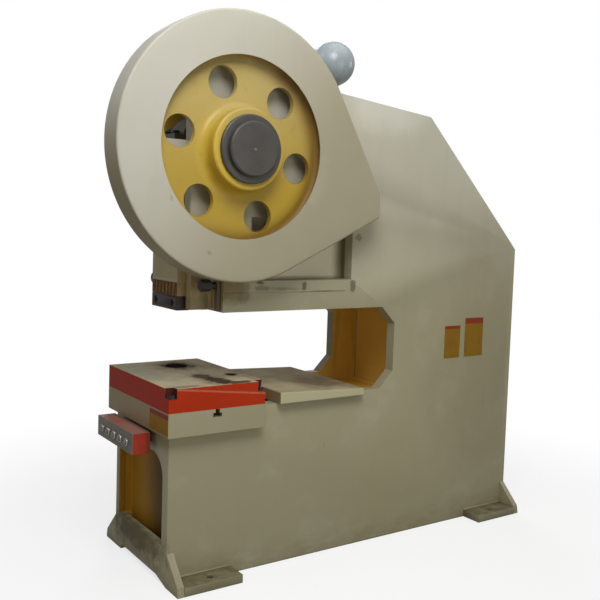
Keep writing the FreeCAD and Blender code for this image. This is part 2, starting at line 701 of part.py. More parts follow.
def mainGear():
    towardsPinion = -math.radians(d.pinionDrop.number)
    rim = toothedRing("GearTeeth", d.gearTeeth, towardsPinion, d.rimInside, d.gearStart, d.gearWide,
                      d.crankY, d.crankZ)
    gearEnd = d.gearStart + d.gearWide
    rimRoot = d.rimInside + 20
    disc = turned([
        (d.gearStart + 7, d.journal), (d.gearStart + 7, d.hubRadius), (d.webInner, d.hubRadius),
        (d.webInner, d.rimInside), (d.gearStart, d.rimInside), (d.gearStart, rimRoot),
        (gearEnd, rimRoot), (gearEnd, d.rimInside), (d.webOuter, d.rimInside),
        (d.webOuter, d.hubRadius), (d.hubEnd, d.hubRadius), (d.hubEnd, d.journal)],
        d.crankY, d.crankZ)
    roundEdges(disc, 34, roundEdgeAt(d.webOuter, d.rimInside))
    roundEdges(disc, 30, roundEdgeAt(d.webInner, d.rimInside))
    roundEdges(disc, 38, roundEdgeAt(d.webOuter, d.hubRadius))
    roundEdges(disc, 18, roundEdgeAt(d.webInner, d.hubRadius))
    roundEdges(disc, 11, roundEdgeAt(d.hubEnd, d.hubRadius))
    firstHole = math.radians(48.5)
    holes = []
    for index in range(6):
        angle = firstHole + index * math.pi / 3
        at = (d.crankY + d.webHoleRing * round(math.cos(angle), 6),
              d.crankZ + d.webHoleRing * round(math.sin(angle), 6))
        holes.append(rod("X", d.webInner - 30, 90, d.webHole, at))
    keep(cut(fuse(rim, disc), *holes), "main_gear")
    collar = turned([
        (d.hubEnd, d.journal - 15), (d.hubEnd, d.collarRadius - 3), (d.hubEnd + 3, d.collarRadius),
        (d.collarEnd - 3, d.collarRadius), (d.collarEnd, d.collarRadius - 3),
        (d.collarEnd, d.journal - 15)], d.crankY, d.crankZ)
    keep(collar, "locking_collar")
    dimple = 5
    cap = turned([(d.collarEnd, 0), (d.collarEnd, d.capRadius), (d.capEnd - 4, d.capRadius),
                  (d.capEnd, d.capRadius - 4), (d.capEnd, dimple), (d.capEnd - dimple, 0)],
                 d.crankY, d.crankZ)
    keep(cap, "end_cap")


def pinion():
    halfTooth = math.pi / d.pinionTeeth.number
    towardsGear = math.pi - math.radians(d.pinionDrop.number)
    teeth = toothedRing("PinionTeeth", d.pinionTeeth, towardsGear + halfTooth, d.pinionShaft,
                        d.gearStart - 3, d.gearWide + 7, pinionY, pinionZ)
    keep(teeth, "pinion_gear")
    end = d.gearStart + d.gearWide + 4
    keep(turned([(asSize(-505), 0), (asSize(-505), d.pinionShaft - 3), (asSize(-502), d.pinionShaft),
                 (end, d.pinionShaft), (end, 0)], pinionY, pinionZ), "pinion_shaft")


def rodAndScrew():
    """Connecting rod with a split big end, an adjusting screw with a ball, and its lock ring."""
    across = (-d.rodWide, d.rodWide)
    wide = 2 * d.rodWide
    bore = d.crankPin + d.bushWall
    outer = bore + 33
    axis = (d.crankY, pinZ)
    earY = outer + 40
    boltY = outer + 18
    boltAt = [(x, d.crankY + side * boltY) for side in (1, -1) for x in (-40, 40)]
    rodLow = asSize(1700)
    boltTools = lambda: [rod("Z", pinZ - 36, 72, 11, at) for at in boltAt]

    eye = rod("X", -d.rodWide, wide, outer, axis)
    ears = box(across, (d.crankY - earY, d.crankY + earY), (pinZ - 36, pinZ))
    belowSplit = box(across, (d.crankY - earY, d.crankY + earY), (pinZ - outer, pinZ))
    shank = rod("Z", rodLow, pinZ - rodLow - 60, d.screwRadius + 28, (0, d.crankY))
    lower = fuse(common(eye, belowSplit), ears, shank)
    socket = rod("Z", rodLow, 215, d.screwRadius, (0, d.crankY))
    keep(cut(lower, rod("X", -d.rodWide, wide, bore, axis), socket, *boltTools()), "connecting_rod")

    capEye = rod("X", -d.rodWide, wide, outer, axis)
    capEars = box(across, (d.crankY - earY, d.crankY + earY), (pinZ, pinZ + 36))
    aboveSplit = box(across, (d.crankY - earY, d.crankY + earY), (pinZ, pinZ + outer))
    upper = fuse(common(capEye, aboveSplit), capEars)
    keep(cut(upper, rod("X", -d.rodWide, wide, bore, axis), *boltTools()), "rod_cap")

    keep(ring("X", -d.rodWide, wide, bore, d.crankPin + d.runningGap, axis), "rod_bush")
    bolts = [fuse(rod("Z", pinZ - 52, 104, 11, at), hexHead("Z", pinZ + 36, 15, 19, at),
                  hexHead("Z", pinZ - 51, 15, 19, at)) for at in boltAt]
    keep(group(*bolts), "rod_cap_bolts")

    ball = doc.addObject("Part::Sphere", "Ball")
    bind(ball, "Radius", d.ballRadius)
    place(ball, 0, d.crankY, d.ballZ)
    neckLow = d.ballZ + 40
    screwLow = asSize(1600)
    screw = fuse(ball, rod("Z", neckLow, screwLow - neckLow, 34, (0, d.crankY)),
                 rod("Z", screwLow, 290, d.screwRadius, (0, d.crankY)))
    keep(screw, "adjusting_screw")

    ringHigh = 40
    lockRing = ring("Z", rodLow - ringHigh, ringHigh, 92, d.screwRadius, (0, d.crankY))
    notches = []
    for index in range(8):
        angle = index * math.pi / 4
        at = (round(92 * math.cos(angle), 3), d.crankY + round(92 * math.sin(angle), 3))
        notches.append(rod("Z", rodLow - ringHigh, ringHigh, 11, at))
    keep(cut(lockRing, *notches), "lock_ring")


# ---- ram and guides ----

def ovalBlock(half, low, high):
    """An upright block with round ends, long enough for the ball's path along the frame."""
    high = asSize(high)
    far = d.crankY + d.throwRadius
    return fuse(box((-asSize(half), half), (d.crankY, far), (low, high)),
                rod("Z", low, high - low, half, (0, d.crankY)), rod("Z", low, high - low, half, (0, far)))


def ram():
    half = d.ramHalf
    groove = d.guideDepth
    sectionRight = [(half, d.guideY - groove), (half - groove, d.guideY), (half, d.guideY + groove)]
    sectionLeft = [(-a, b) for a, b in reversed(sectionRight)]
    body = plate("XY_Plane", d.ramLow, d.ramTop,
                 [(-half, d.ramFront), (half, d.ramFront)] + sectionRight
                 + [(half, d.ramRear), (-half, d.ramRear)] + sectionLeft)
    clampSpace = box((-half, half), (d.ramFront, d.crankY), (d.ramLow, d.clampTop))
    shank = rod("Z", d.ramLow, d.shankDepth, d.shankHole, (0, d.crankY))
    well = ovalBlock(d.wellHalf, d.wellFloor, d.ramTop)
    slots = []
    slotPitch = 38
    slotLean = 5
    low, high = d.clampTop + 4, d.clampTop + 62
    for index in range(7):
        x = (index - 3) * slotPitch
        slots.append(plate("XZ_Plane", d.ramFront, d.ramFront + 16, [
            (x - 9 - slotLean, low), (x + 9 - slotLean, low),
            (x + 9 + slotLean, high), (x - 9 + slotLean, high)]))
    screwHoles = [rod("Y", d.crankY - 1, 61, 10, (x, d.ramLow + 34)) for x in (-90, 90)]
    keep(cut(body, clampSpace, shank, well, *slots, *screwHoles), "ram")

    clampBack = d.crankY - 2 * d.clampSplit
    clampBody = box((-half + 1, half - 1), (d.ramFront, clampBack), (d.ramLow, d.clampTop - 1))
    clampGrooves = [rod("Z", d.ramLow, d.clampTop - d.ramLow, 33, (side * (half + 1), d.guideY))
                    for side in (1, -1)]
    clampHoles = [rod("Y", d.ramFront, d.crankY - d.ramFront, 10, (x, d.ramLow + 34)) for x in (-90, 90)]
    counterbores = [rod("Y", d.ramFront, 24, 17, (x, d.ramLow + 34)) for x in (-90, 90)]
    bore = rod("Z", d.ramLow, d.clampTop - d.ramLow, d.shankHole, (0, d.crankY))
    keep(cut(clampBody, bore, *clampGrooves, *clampHoles, *counterbores), "shank_clamp")
    screws = []
    for x in (-90, 90):
        at = (x, d.ramLow + 34)
        head = cut(rod("Y", d.ramFront + 4, 20, 15, at), hexHead("Y", d.ramFront + 4, 11, 9, at))
        screws.append(fuse(head, rod("Y", d.ramFront + 24, d.crankY - d.ramFront + 36, 10, at)))
    keep(group(*screws), "shank_clamp_screws")

    seatTop = d.ballZ - d.ballRadius - 12
    keep(rod("Z", d.wellFloor, seatTop - d.wellFloor, d.wellHalf - 1, (0, d.crankY)), "ball_seat")
    keep(cut(ovalBlock(d.wellHalf, 1545, 1580), ovalBlock(38, 1545, 1580)), "ball_retainer")


def gibs():
    """L-shaped guides whose V-shaped ridges run in the ram's grooves."""
    half = d.ramHalf + d.guideGap
    groove = d.guideDepth
    nose = asSize(190)
    noseFront = asSize(-969)
    shelf = asSize(-880)
    rear = gibBolts.padFront
    low = d.throatRoofZ + 5
    high = d.ramTop + 60
    earOuter = asSize(285)
    earHigh = asSize(1436)
    plateEdge = d.headFrontY - 0.4
    shank = gibBolts.radius
    for side, label in ((1, "gib_right"), (-1, "gib_left")):
        section = [(half, noseFront), (nose, noseFront), (nose, shelf), (inside, shelf), (inside, rear),
                   (half, rear), (half, d.guideY + groove), (half - groove, d.guideY),
                   (half, d.guideY - groove)]
        if side < 0:
            section = [(-a, b) for a, b in reversed(section)]
        body = plate("XY_Plane", low, high, section)
        ear = box(span(side * (inside - 1), side * earOuter), (shelf, plateEdge), (low, earHigh))
        upper = [(side * gibBolts.upperX, z) for z in gibBolts.upper]
        lower = (side * gibBolts.lowerX, gibBolts.lower)
        holes = [rod("Y", shelf, rear - shelf, shank, at) for at in upper + [lower]]
        keep(cut(fuse(body, ear), *holes), label)
        for at in upper:
            frameBolts.append(fuse(rod("Y", shelf - 18, 98, shank, at), hexHead("Y", shelf - 18, 18, 22, at)))
        frameBolts.append(fuse(rod("Y", shelf - 28, 105, shank, lower), rod("Y", shelf - 28, 28, 17, lower),
                               hexHead("Y", shelf - 78, 50, 28, lower)))
    keep(group(*frameBolts), "frame_bolts")


# ---- gear guard ----

def guardShell(radius, endY, low, high):
    """The guard's outer form: a disc that runs out into a square corner over the pinion."""
    upper = math.radians(30)
    lower = math.radians(-64)
    circle = rod("X", low, high - low, radius, (d.guardY, d.guardZ))

    def onCircle(angle):
        return (d.guardY + radius * round(math.cos(angle), 6), d.guardZ + radius * round(math.sin(angle), 6))
    tangentUp = onCircle(upper)
    tangentDown = onCircle(lower)
    reachUp = (endY - tangentUp[0]) * round(1 / math.tan(upper), 6)
    reachDown = (endY - tangentDown[0]) * round(-1 / math.tan(lower), 6)
    spout = plate("YZ_Plane", low, high, [
        (d.guardY, d.guardZ), tangentDown, (endY, tangentDown[1] + reachDown),
        (endY, tangentUp[1] - reachUp), tangentUp])
    return fuse(circle, spout)


def gearGuard():
    face = d.guardFace
    sheetThick = d.guardSheet
    shell = guardShell(d.guardRadius, d.guardEndY, d.frameHalf, face)
    hollow = guardShell(d.guardRadius - sheetThick, d.guardEndY - sheetThick, d.frameHalf, face - sheetThick)
    opening = rod("X", face - sheetThick - 1, sheetThick + 2, d.guardWindow, (d.guardY, d.guardZ))
    keep(cut(shell, hollow, opening), "gear_guard")
    lug = (d.frameHalf, d.frameHalf + 6)
    inner = d.guardRadius - sheetThick
    strips = [((d.guardY - 25, d.guardY + 25), (d.guardZ - inner, d.guardZ - inner + 34)),
              ((d.guardY - 25, d.guardY + 25), (asSize(2320), d.guardZ + inner)),
              ((d.guardY - inner, d.topFrontY + 60), (d.guardZ - 25, d.guardZ + 25))]
    stays = [common(box(lug, y, z), rod("X", lug[0], 6, inner, (d.guardY, d.guardZ))) for y, z in strips]
    stays.append(box(lug, (d.guardEndY - sheetThick - 34, d.guardEndY - sheetThick), (1775, 1835)))
    keep(group(*stays), "gear_guard_stays")


# ---- drive on the far side ----

def groovedCorners(radius, inner, outer):
    """The rim of a pulley with four V-grooves, from the frame side outwards."""
    corners = [(inner, radius)]
    for index in range(4):
        middle = d.grooveStart - index * d.groovePitch
        corners += [(middle + 8.5, radius), (middle + 4.5, radius - d.grooveDepth),
                    (middle - 4.5, radius - d.grooveDepth), (middle - 8.5, radius)]
    corners.append((outer, radius))
    return corners


def flywheel():
    inner = d.flywheelInner
    outer = d.flywheelOuter
    hub = asSize(95)
    seat = asSize(65)
    rimInside = d.flywheelRadius - 72
    webIn = asSize(-358)
    webOut = asSize(-386)
    wheel = turned(groovedCorners(d.flywheelRadius, inner, outer) + [
        (outer, rimInside), (webOut, rimInside), (webOut, hub), (outer - 8, hub), (outer - 8, seat),
        (inner - 3, seat), (inner - 3, hub), (webIn, hub), (webIn, rimInside), (inner, rimInside)],
        pinionY, pinionZ)
    holes = []
    for index in range(5):
        angle = math.pi / 2 + index * 2 * math.pi / 5
        at = (pinionY + round(235 * math.cos(angle), 3), pinionZ + round(235 * math.sin(angle), 3))
        holes.append(rod("X", webOut - 10, 50, 62, at))
    keep(cut(wheel, *holes), "flywheel")
    fit = d.pinionShaft + d.runningGap
    rings = [turned([(start, fit), (start, seat), (start + 26, seat), (start + 26, fit)], pinionY, pinionZ)
             for start in (outer - 8, inner - 29)]
    keep(group(*rings), "flywheel_bearings")
    start = outer - 8
    clutch = turned([(start, 55), (start, 150), (start - 8, 150), (start - 8, 215), (start - 14, 222),
                     (start - 42, 222), (start - 48, 215), (start - 48, 120), (start - 62, 110),
                     (start - 62, 55)], pinionY, pinionZ)
    keep(clutch, "clutch_brake_unit")


def motor():
    shaftGap = d.runningGap
    start = asSize(-300)
    end = asSize(135)
    axis = (d.motorY, d.motorZ)
    barrel = turned([(start, d.motorShaft + shaftGap), (start, 105), (start + 12, 122), (start + 60, 122),
                     (start + 60, d.motorRadius - 10), (end - 90, d.motorRadius - 10),
                     (end - 90, d.motorRadius - 4), (end - 8, d.motorRadius - 4), (end, d.motorRadius - 16),
                     (end, d.motorShaft + shaftGap)], *axis)
    ribs = []
    for index in range(20):
        angle = index * math.pi / 10
        at = (d.motorY + round(120 * math.cos(angle), 3), d.motorZ + round(120 * math.sin(angle), 3))
        ribs.append(rod("X", start + 60, end - 90 - start - 60, 7, at))
    feetBlocks = [box((-170, 0), (d.motorY + side * 108 - 26, d.motorY + side * 108 + 26), (1390, 1440))
                  for side in (1, -1)]
    terminals = box((-140, -40), (d.motorY - 55, d.motorY + 55), (d.motorZ + 100, d.motorZ + 165))
    keep(fuse(barrel, *ribs, *feetBlocks, terminals), "motor_body")
    keep(box((-inside, inside), (d.motorY - 160, d.motorY + 160), (1368, 1390)), "motor_base")
    keep(rod("X", d.grooveStart - 70, 495, d.motorShaft, axis), "motor_shaft")
    first = d.grooveStart + 13
    last = d.grooveStart - 3 * d.groovePitch - 13
    pulley = turned(groovedCorners(d.pulleyRadius, first, last)
                    + [(last, d.motorShaft), (first, d.motorShaft)], *axis)
    keep(pulley, "motor_pulley")


def loopPrism(bigRadius, smallRadius, low, high):
    """A flat body bounded by two circles and their common tangents, between two planes."""
    reachY = d.motorY.number - pinionY.number
    reachZ = d.motorZ.number - pinionZ.number
    reach = math.hypot(reachY, reachZ)
    lean = math.atan2(reachZ, reachY)
    wrap = math.acos((bigRadius - smallRadius) / reach)
    centres = [(pinionY.number, pinionZ.number, bigRadius), (d.motorY.number, d.motorZ.number, smallRadius)]
    point = lambda c, angle: FreeCAD.Vector(low, c[0] + c[2] * math.cos(angle), c[1] + c[2] * math.sin(angle))
    big, small = centres
    up, down = lean + wrap, lean - wrap
    edges = [Part.LineSegment(point(big, up), point(small, up)).toShape(),
             Part.Arc(point(small, up), point(small, lean), point(small, down)).toShape(),
             Part.LineSegment(point(small, down), point(big, down)).toShape(),
             Part.Arc(point(big, down), point(big, lean + math.pi), point(big, up)).toShape()]
    return Part.Face(Part.Wire(edges)).extrude(FreeCAD.Vector(high - low, 0, 0))


def beltDrive():
    belts = []
    for index in range(4):
        middle = (d.grooveStart - index * d.groovePitch).number
        low, high = middle - 5, middle + 5
        big, small = d.flywheelRadius.number, d.pulleyRadius.number
        belt = doc.addObject("Part::Feature", "Belt")
        belt.Shape = loopPrism(big - 1, small - 1, low, high).cut(loopPrism(big - 10, small - 10, low, high))
        belts.append(belt)
    keep(group(*belts), "v_belts")
    sheetThick = d.guardSheet.number
    outer = -d.frameHalf.number
    face = d.beltGuardFace.number
    shell = loopPrism(482, 152, face, outer)
    hollow = loopPrism(482 - sheetThick, 152 - sheetThick, face + sheetThick, outer)
    cover = doc.addObject("Part::Feature", "Cover")
    cover.Shape = shell.cut(hollow)
    keep(cut(cover, rod("X", face - 1, sheetThick + 2, 325, (pinionY, pinionZ))), "belt_guard")


# ---- fittings ----

def airReceiver():
    low, high = -d.tankHalf, d.tankHalf
    axis = (d.tankY, d.tankZ)
    ends = []
    for x in (low, high):
        dish = doc.addObject("Part::Ellipsoid", "DishedEnd")
        dish.Placement = FreeCAD.Placement(FreeCAD.Vector(), turnOfAxis["X"])
        bind(dish, "Radius1", d.tankDish)
        bind(dish, "Radius2", d.tankRadius)
        bind(dish, "Radius3", d.tankRadius)
        place(dish, x, *axis)
        ends.append(dish)
    keep(fuse(rod("X", low, high - low, d.tankRadius, axis), *ends), "air_receiver")
    saddles = []
    half = 78
    roof = lambda y: d.topFrontZ + (y - d.topFrontY) * topSlope
    for x in (-134, 120):
        front, rear = d.tankY - half, d.tankY + half
        saddle = plate("YZ_Plane", asSize(x), asSize(x + 14), [
            (front, roof(front)), (rear, roof(rear)), (rear, d.tankZ - 60), (front, d.tankZ - 60)])
        saddles.append(cut(saddle, rod("X", x - 5, 24, d.tankRadius + 0.5, axis)))
    keep(group(*saddles), "receiver_saddles")


def controlBox():
    wall = d.boxSheet
    outerBox = box((d.boxLeft, d.boxRight), (d.boxFront, d.boxBack), (d.boxLow, d.boxHigh))
    innerBox = box((d.boxLeft + wall, d.boxRight - wall), (d.boxFront, d.boxBack - wall),
                   (d.boxLow + wall, d.boxHigh - wall))
    keep(cut(outerBox, innerBox), "control_box")
    panelFront = d.boxFront - wall
    panel = box((d.boxLeft, d.boxRight), (panelFront, d.boxFront), (d.boxLow, d.boxHigh))
    places = [(d.buttonStart + index * d.buttonPitch, d.buttonZ) for index in range(5)]
    keep(cut(panel, *[rod("Y", panelFront, wall, 6.4, at) for at in places]), "control_panel")
    bezels = [ring("Y", panelFront - 8, 8, d.buttonRadius + 4.5, d.buttonRadius + 0.4, at) for at in places]
    keep(group(*bezels), "button_bezels")
    capBack = panelFront - d.buttonTravel - 1
    for index, at in enumerate(places, 1):
        cap = rod("Y", capBack - 10, 10, d.buttonRadius, at)
        stem = rod("Y", capBack, 32, 6, at)
        keep(fuse(cap, stem), f"push_button_{index}")
    arms = [box((x, x + 40), (d.boxBack, d.bodyFront), (640, 680)) for x in (-200, 80)]
    keep(group(*arms), "control_box_brackets")


def blankPlates():
    """Bare plates where the machine carries its notices."""
    front = box((158, 352), (d.tableFront - 2, d.tableFront), (722, 812))
    first = box((d.frameHalf, d.frameHalf + 2), (568, 687), (951, 1134))
    second = box((d.frameHalf, d.frameHalf + 2), (727, 872), (952, 1174))
    keep(group(front, first, second), "blank_plates")


for build in (sidePlates, endPlates, feet, innerPlates, table, crankshaft, bearings, mainGear, pinion,
              rodAndScrew, ram, gibs, gearGuard, flywheel, motor, beltDrive, airReceiver, controlBox,
              blankPlates):
    build()
doc.recompute()

for item in doc.Objects:
    if "Invalid" in item.State or "Error" in item.State:
        raise RuntimeError(f"{item.Name} ({item.Label}) failed: {item.State}")
os.makedirs("parts", exist_ok=True)
for item in nodes:
    shape = item.Shape
    if shape.isNull() or not shape.isValid():
        raise RuntimeError(f"{item.Label} has no valid shape")
    shape.exportStep(f"parts/{item.Label}.step")
print(len(nodes), "sub-parts written")
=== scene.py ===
import json
import math
import bmesh
import bpy
import numpy as np
from mathutils import Matrix, Vector
from mathutils.bvhtree import BVHTree


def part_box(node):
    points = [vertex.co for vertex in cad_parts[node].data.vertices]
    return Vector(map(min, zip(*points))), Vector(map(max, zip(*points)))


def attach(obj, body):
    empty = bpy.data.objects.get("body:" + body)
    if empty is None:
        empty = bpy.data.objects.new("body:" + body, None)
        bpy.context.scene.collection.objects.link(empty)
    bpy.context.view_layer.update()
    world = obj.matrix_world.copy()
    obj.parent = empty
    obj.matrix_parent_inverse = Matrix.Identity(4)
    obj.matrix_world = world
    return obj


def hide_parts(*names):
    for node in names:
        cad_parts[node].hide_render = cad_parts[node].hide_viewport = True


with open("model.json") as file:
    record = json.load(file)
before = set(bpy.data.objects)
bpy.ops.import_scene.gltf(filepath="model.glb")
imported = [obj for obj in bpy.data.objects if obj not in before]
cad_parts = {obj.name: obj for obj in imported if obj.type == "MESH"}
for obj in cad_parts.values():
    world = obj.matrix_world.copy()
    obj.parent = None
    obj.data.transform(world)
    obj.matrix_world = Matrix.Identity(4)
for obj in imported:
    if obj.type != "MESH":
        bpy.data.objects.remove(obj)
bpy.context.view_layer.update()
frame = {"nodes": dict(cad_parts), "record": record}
nodes = frame["nodes"]
print("frame loaded:", len(nodes), "nodes")

mm = 0.001
scene = bpy.context.scene


def hexColour(code):
    # sRGB hex to the linear colour that shaders use
    parts = [int(code[i:i + 2], 16) / 255 for i in (1, 3, 5)]
    return tuple(c / 12.92 if c <= 0.04045 else ((c + 0.055) / 1.055) ** 2.4 for c in parts) + (1.0,)


def addNode(tree, kind, settings):
    # one shader node; a value that is a socket is linked, any other is set
    node = tree.nodes.new("ShaderNode" + kind)
    for key, value in settings.items():
        if isinstance(value, bpy.types.NodeSocket):
            tree.links.new(value, node.inputs[key])
        elif isinstance(key, int) or key in node.inputs:
            node.inputs[key].default_value = value
        else:
            setattr(node, key, value)
    return node


# what the patterns share: how rough and fine their noise is, how far it moves a ragged outline, and samples
patternLook = {"rough": 0.6, "detail": 4.0, "raggedDetail": 5.0, "raggedReach": 1.6, "edge": 4, "corner": 6}


def patternOf(tree, place, layer):
    # the raw grey value of one layer, before its limits are applied
    kind = layer["kind"]
    if kind == "cloud":  # soft noise, size in mm, one size per axis if stretched
        size = layer["size"]
        sizes = size if isinstance(size, tuple) else (size, size, size)
        scaled = addNode(tree, "VectorMath", {"operation": "DIVIDE", 0: place, 1: [s * mm for s in sizes]})
        return addNode(tree, "TexNoise", {
            "Vector": scaled.outputs[0], "Scale": 1.0, "Roughness": patternLook["rough"],
            "Detail": layer.get("detail", patternLook["detail"])}).outputs["Fac"]
    if kind == "edge":  # how far a rounded normal leans from the flat one
        soft = addNode(tree, "Bevel", {"samples": patternLook["edge"], "Radius": layer["size"] * mm})
        flat = addNode(tree, "NewGeometry", {})
        lean = addNode(tree, "VectorMath", {"operation": "DOT_PRODUCT", 0: soft.outputs[0],
                                            1: flat.outputs["Normal"]})
        return addNode(tree, "Math", {"operation": "SUBTRACT", 0: 1.0, 1: lean.outputs["Value"]}).outputs[0]
    if kind == "corner":  # how closed in a place is
        shade = addNode(tree, "AmbientOcclusion", {"samples": patternLook["corner"],
                                                   "Distance": layer["size"] * mm})
        return addNode(tree, "Math", {"operation": "SUBTRACT", 0: 1.0, 1: shade.outputs["AO"]}).outputs[0]
    if kind == "facing":  # how far the surface faces a direction
        flat = addNode(tree, "NewGeometry", {})
        return addNode(tree, "VectorMath", {"operation": "DOT_PRODUCT", 0: flat.outputs["Normal"],
                                            1: layer["towards"]}).outputs["Value"]
    if kind == "along":  # distance along a direction, in mm
        return addNode(tree, "VectorMath", {"operation": "DOT_PRODUCT", 0: place,
                                            1: [c / mm for c in layer["towards"]]}).outputs["Value"]
    if kind == "line":  # distance from a straight scratch, in mm
        start, end = Vector(layer["start"]) * mm, Vector(layer["end"]) * mm
        run = end - start
        fromStart = addNode(tree, "VectorMath", {"operation": "SUBTRACT", 0: place, 1: start})
        share = addNode(tree, "VectorMath", {"operation": "DOT_PRODUCT", 0: fromStart.outputs[0],
                                             1: run / run.length_squared})
        held = addNode(tree, "Clamp", {"Value": share.outputs["Value"]})
        nearest = addNode(tree, "VectorMath", {"operation": "SCALE", 0: run, "Scale": held.outputs[0]})
        gap = addNode(tree, "VectorMath", {"operation": "SUBTRACT", 0: fromStart.outputs[0],
                                           1: nearest.outputs[0]})
        scaled = addNode(tree, "VectorMath", {"operation": "SCALE", 0: gap.outputs[0], "Scale": 1 / mm})
        return addNode(tree, "VectorMath", {"operation": "LENGTH", 0: scaled.outputs[0]}).outputs["Value"]
    # spot: 0 in the middle of an ellipsoid, 1 on its surface; box: the same for a block
    middle = addNode(tree, "VectorMath", {"operation": "SUBTRACT", 0: place,
                                          1: [c * mm for c in layer["middle"]]})
    unit = addNode(tree, "VectorMath", {"operation": "DIVIDE", 0: middle.outputs[0],
                                        1: [c * mm for c in layer["half"]]})
    if kind == "spot":
        reach = addNode(tree, "VectorMath", {"operation": "LENGTH", 0: unit.outputs[0]}).outputs["Value"]
    else:
        sides = addNode(tree, "VectorMath", {"operation": "ABSOLUTE", 0: unit.outputs[0]})
        parts = addNode(tree, "SeparateXYZ", {0: sides.outputs[0]})
        pair = addNode(tree, "Math", {"operation": "MAXIMUM", 0: parts.outputs[0], 1: parts.outputs[1]})
        most = addNode(tree, "Math", {"operation": "MAXIMUM", 0: pair.outputs[0], 1: parts.outputs[2]})
        reach = most.outputs[0]
    if "ragged" in layer:  # an uneven outline
        wobble = patternOf(tree, place, {"kind": "cloud", "size": layer["ragged"],
                                         "detail": patternLook["raggedDetail"]})
        moved = addNode(tree, "Math", {"operation": "MULTIPLY_ADD", 0: wobble, 1: patternLook["raggedReach"],
                                       2: -patternLook["raggedReach"] / 2})
        reach = addNode(tree, "Math", {"operation": "ADD", 0: reach, 1: moved.outputs[0]}).outputs[0]
    return reach


def maskOf(tree, place, layer):
    # a layer's pattern between its limits, from 0 to its strength, broken up by noise where asked
    raw = patternOf(tree, place, layer)
    low, high = layer["limits"]
    held = addNode(tree, "MapRange", {"interpolation_type": "SMOOTHSTEP", "Value": raw, "From Min": low,
                                      "From Max": high, "To Min": 0.0, "To Max": layer["strength"]})
    mask = held.outputs[0]
    for part in layer.get("only", []):  # further patterns that this one is confined to
        inner = maskOf(tree, place, {"strength": 1.0, **part})
        mask = addNode(tree, "Math", {"operation": "MULTIPLY", 0: mask, 1: inner}).outputs[0]
    return mask


def makeFinish(name, look):
    # a finish starts with one colour, roughness and metal, and each layer mixes its own over them
    material = bpy.data.materials.new(name)
    material.use_nodes = True
    tree = material.node_tree
    tree.nodes.clear()
    place = addNode(tree, "TexCoord", {}).outputs["Object"]
    colour, rough, metal, bump = hexColour(look["colour"]), look["rough"], look.get("metal", 0.0), None
    for layer in look["layers"]:
        mask = maskOf(tree, place, layer)
        if "colour" in layer:
            colour = addNode(tree, "Mix", {"data_type": "RGBA", 0: mask, 6: colour,
                                           7: hexColour(layer["colour"])}).outputs[2]
        if "rough" in layer:
            rough = addNode(tree, "Mix", {0: mask, 2: rough, 3: layer["rough"]}).outputs[0]
        if "metal" in layer:
            metal = addNode(tree, "Mix", {0: mask, 2: metal, 3: layer["metal"]}).outputs[0]
        if "raised" in layer:  # height of the layer in mm, below zero for a dent
            given = {"Height": mask, "Distance": abs(layer["raised"]) * mm, "invert": layer["raised"] < 0}
            bump = addNode(tree, "Bump", given if bump is None else {**given, "Normal": bump}).outputs[0]
    for size, depth in look.get("bumps", []):  # all-over unevenness: size and depth in mm
        height = patternOf(tree, place, {"kind": "cloud", "size": size, "detail": 2.0})
        given = {"Height": height, "Distance": depth * mm}
        bump = addNode(tree, "Bump", given if bump is None else {**given, "Normal": bump}).outputs[0]
    surface = {"Base Color": colour, "Roughness": rough, "Metallic": metal,
               "Specular IOR Level": look.get("shine", 0.5)}
    if bump is not None:
        surface["Normal"] = bump
    shader = addNode(tree, "BsdfPrincipled", surface)
    addNode(tree, "OutputMaterial", {"Surface": shader.outputs[0]})
    return material


def coat(kind, limits, strength, colour=None, **more):
    # one layer of paint, dust, oil or wear; kinds are those of patternOf, sizes and places are in mm
    layer = {"kind": kind, "limits": limits, "strength": strength, **more}
    return layer if colour is None else {**layer, "colour": colour}


def where(kind, limits, **more):
    # a pattern that a layer is confined to
    return {"kind": kind, "limits": limits, **more}


def finish(colour, rough, layers, **more):
    # what makeFinish needs: the plain look, the layers over it and the all-over bumps
    return {"colour": colour, "rough": rough, "layers": layers, **more}


def over(base, layers):
    # a finish with further layers on top of another's
    return {**base, "layers": base["layers"] + layers}


def mark(middle, half, colour, strength, ragged=30, rough=0.6, limits=(1.1, 0.7), **more):
    # one patch with an uneven outline, for stains and for painted light and shade
    return coat("spot", limits, strength, colour, middle=middle, half=half, ragged=ragged, rough=rough,
                **more)


dustOnTop = coat("facing", (0.6, 1.0), 0.55, "#A09780", towards=(0, 0, 1), rough=0.8,
                 only=[where("cloud", (0.3, 0.6), size=130)])
# painted shade with grime: darker wherever a place is closed in
cornerShadeAndGrime = coat("corner", (0.35, 0.95), 0.45, "#655D42", size=60, rough=0.7)
floorDust = coat("along", (170, 0), 0.4, "#7F7659", towards=(0, 0, 1), rough=0.75,
                 only=[where("cloud", (0.3, 0.65), size=(150, 150, 60))])
chippedEdges = coat("edge", (0.06, 0.3), 0.6, "#8B8369", size=5, rough=0.6, raised=-0.15,
                    only=[where("cloud", (0.52, 0.64), size=22)])

# machine enamel: alkyd paint sprayed over filler, half gloss, grey cream, with painted shade that makes it
# darker and yellower lower down
creamEnamel = finish("#B9B5A4", 0.42, shine=0.3, bumps=[(7, 0.04), (190, 0.9)], layers=[
    # painted shade: darker and yellower towards the floor
    coat("along", (2250, 950), 1.0, "#A19C7C", towards=(0, 0, 1)),
    coat("cloud", (0.35, 0.7), 0.35, "#A8A28B", size=900),
    coat("cloud", (0.5, 0.78), 0.25, "#C3C0B1", size=260, rough=0.36),
    coat("cloud", (0.5, 0.78), 0.12, "#99917A", size=(70, 70, 900)),
    floorDust,
    cornerShadeAndGrime,
    dustOnTop,
    coat("cloud", (0.72, 0.77), 0.4, "#7C745C", size=7, rough=0.6),
    chippedEdges,
])


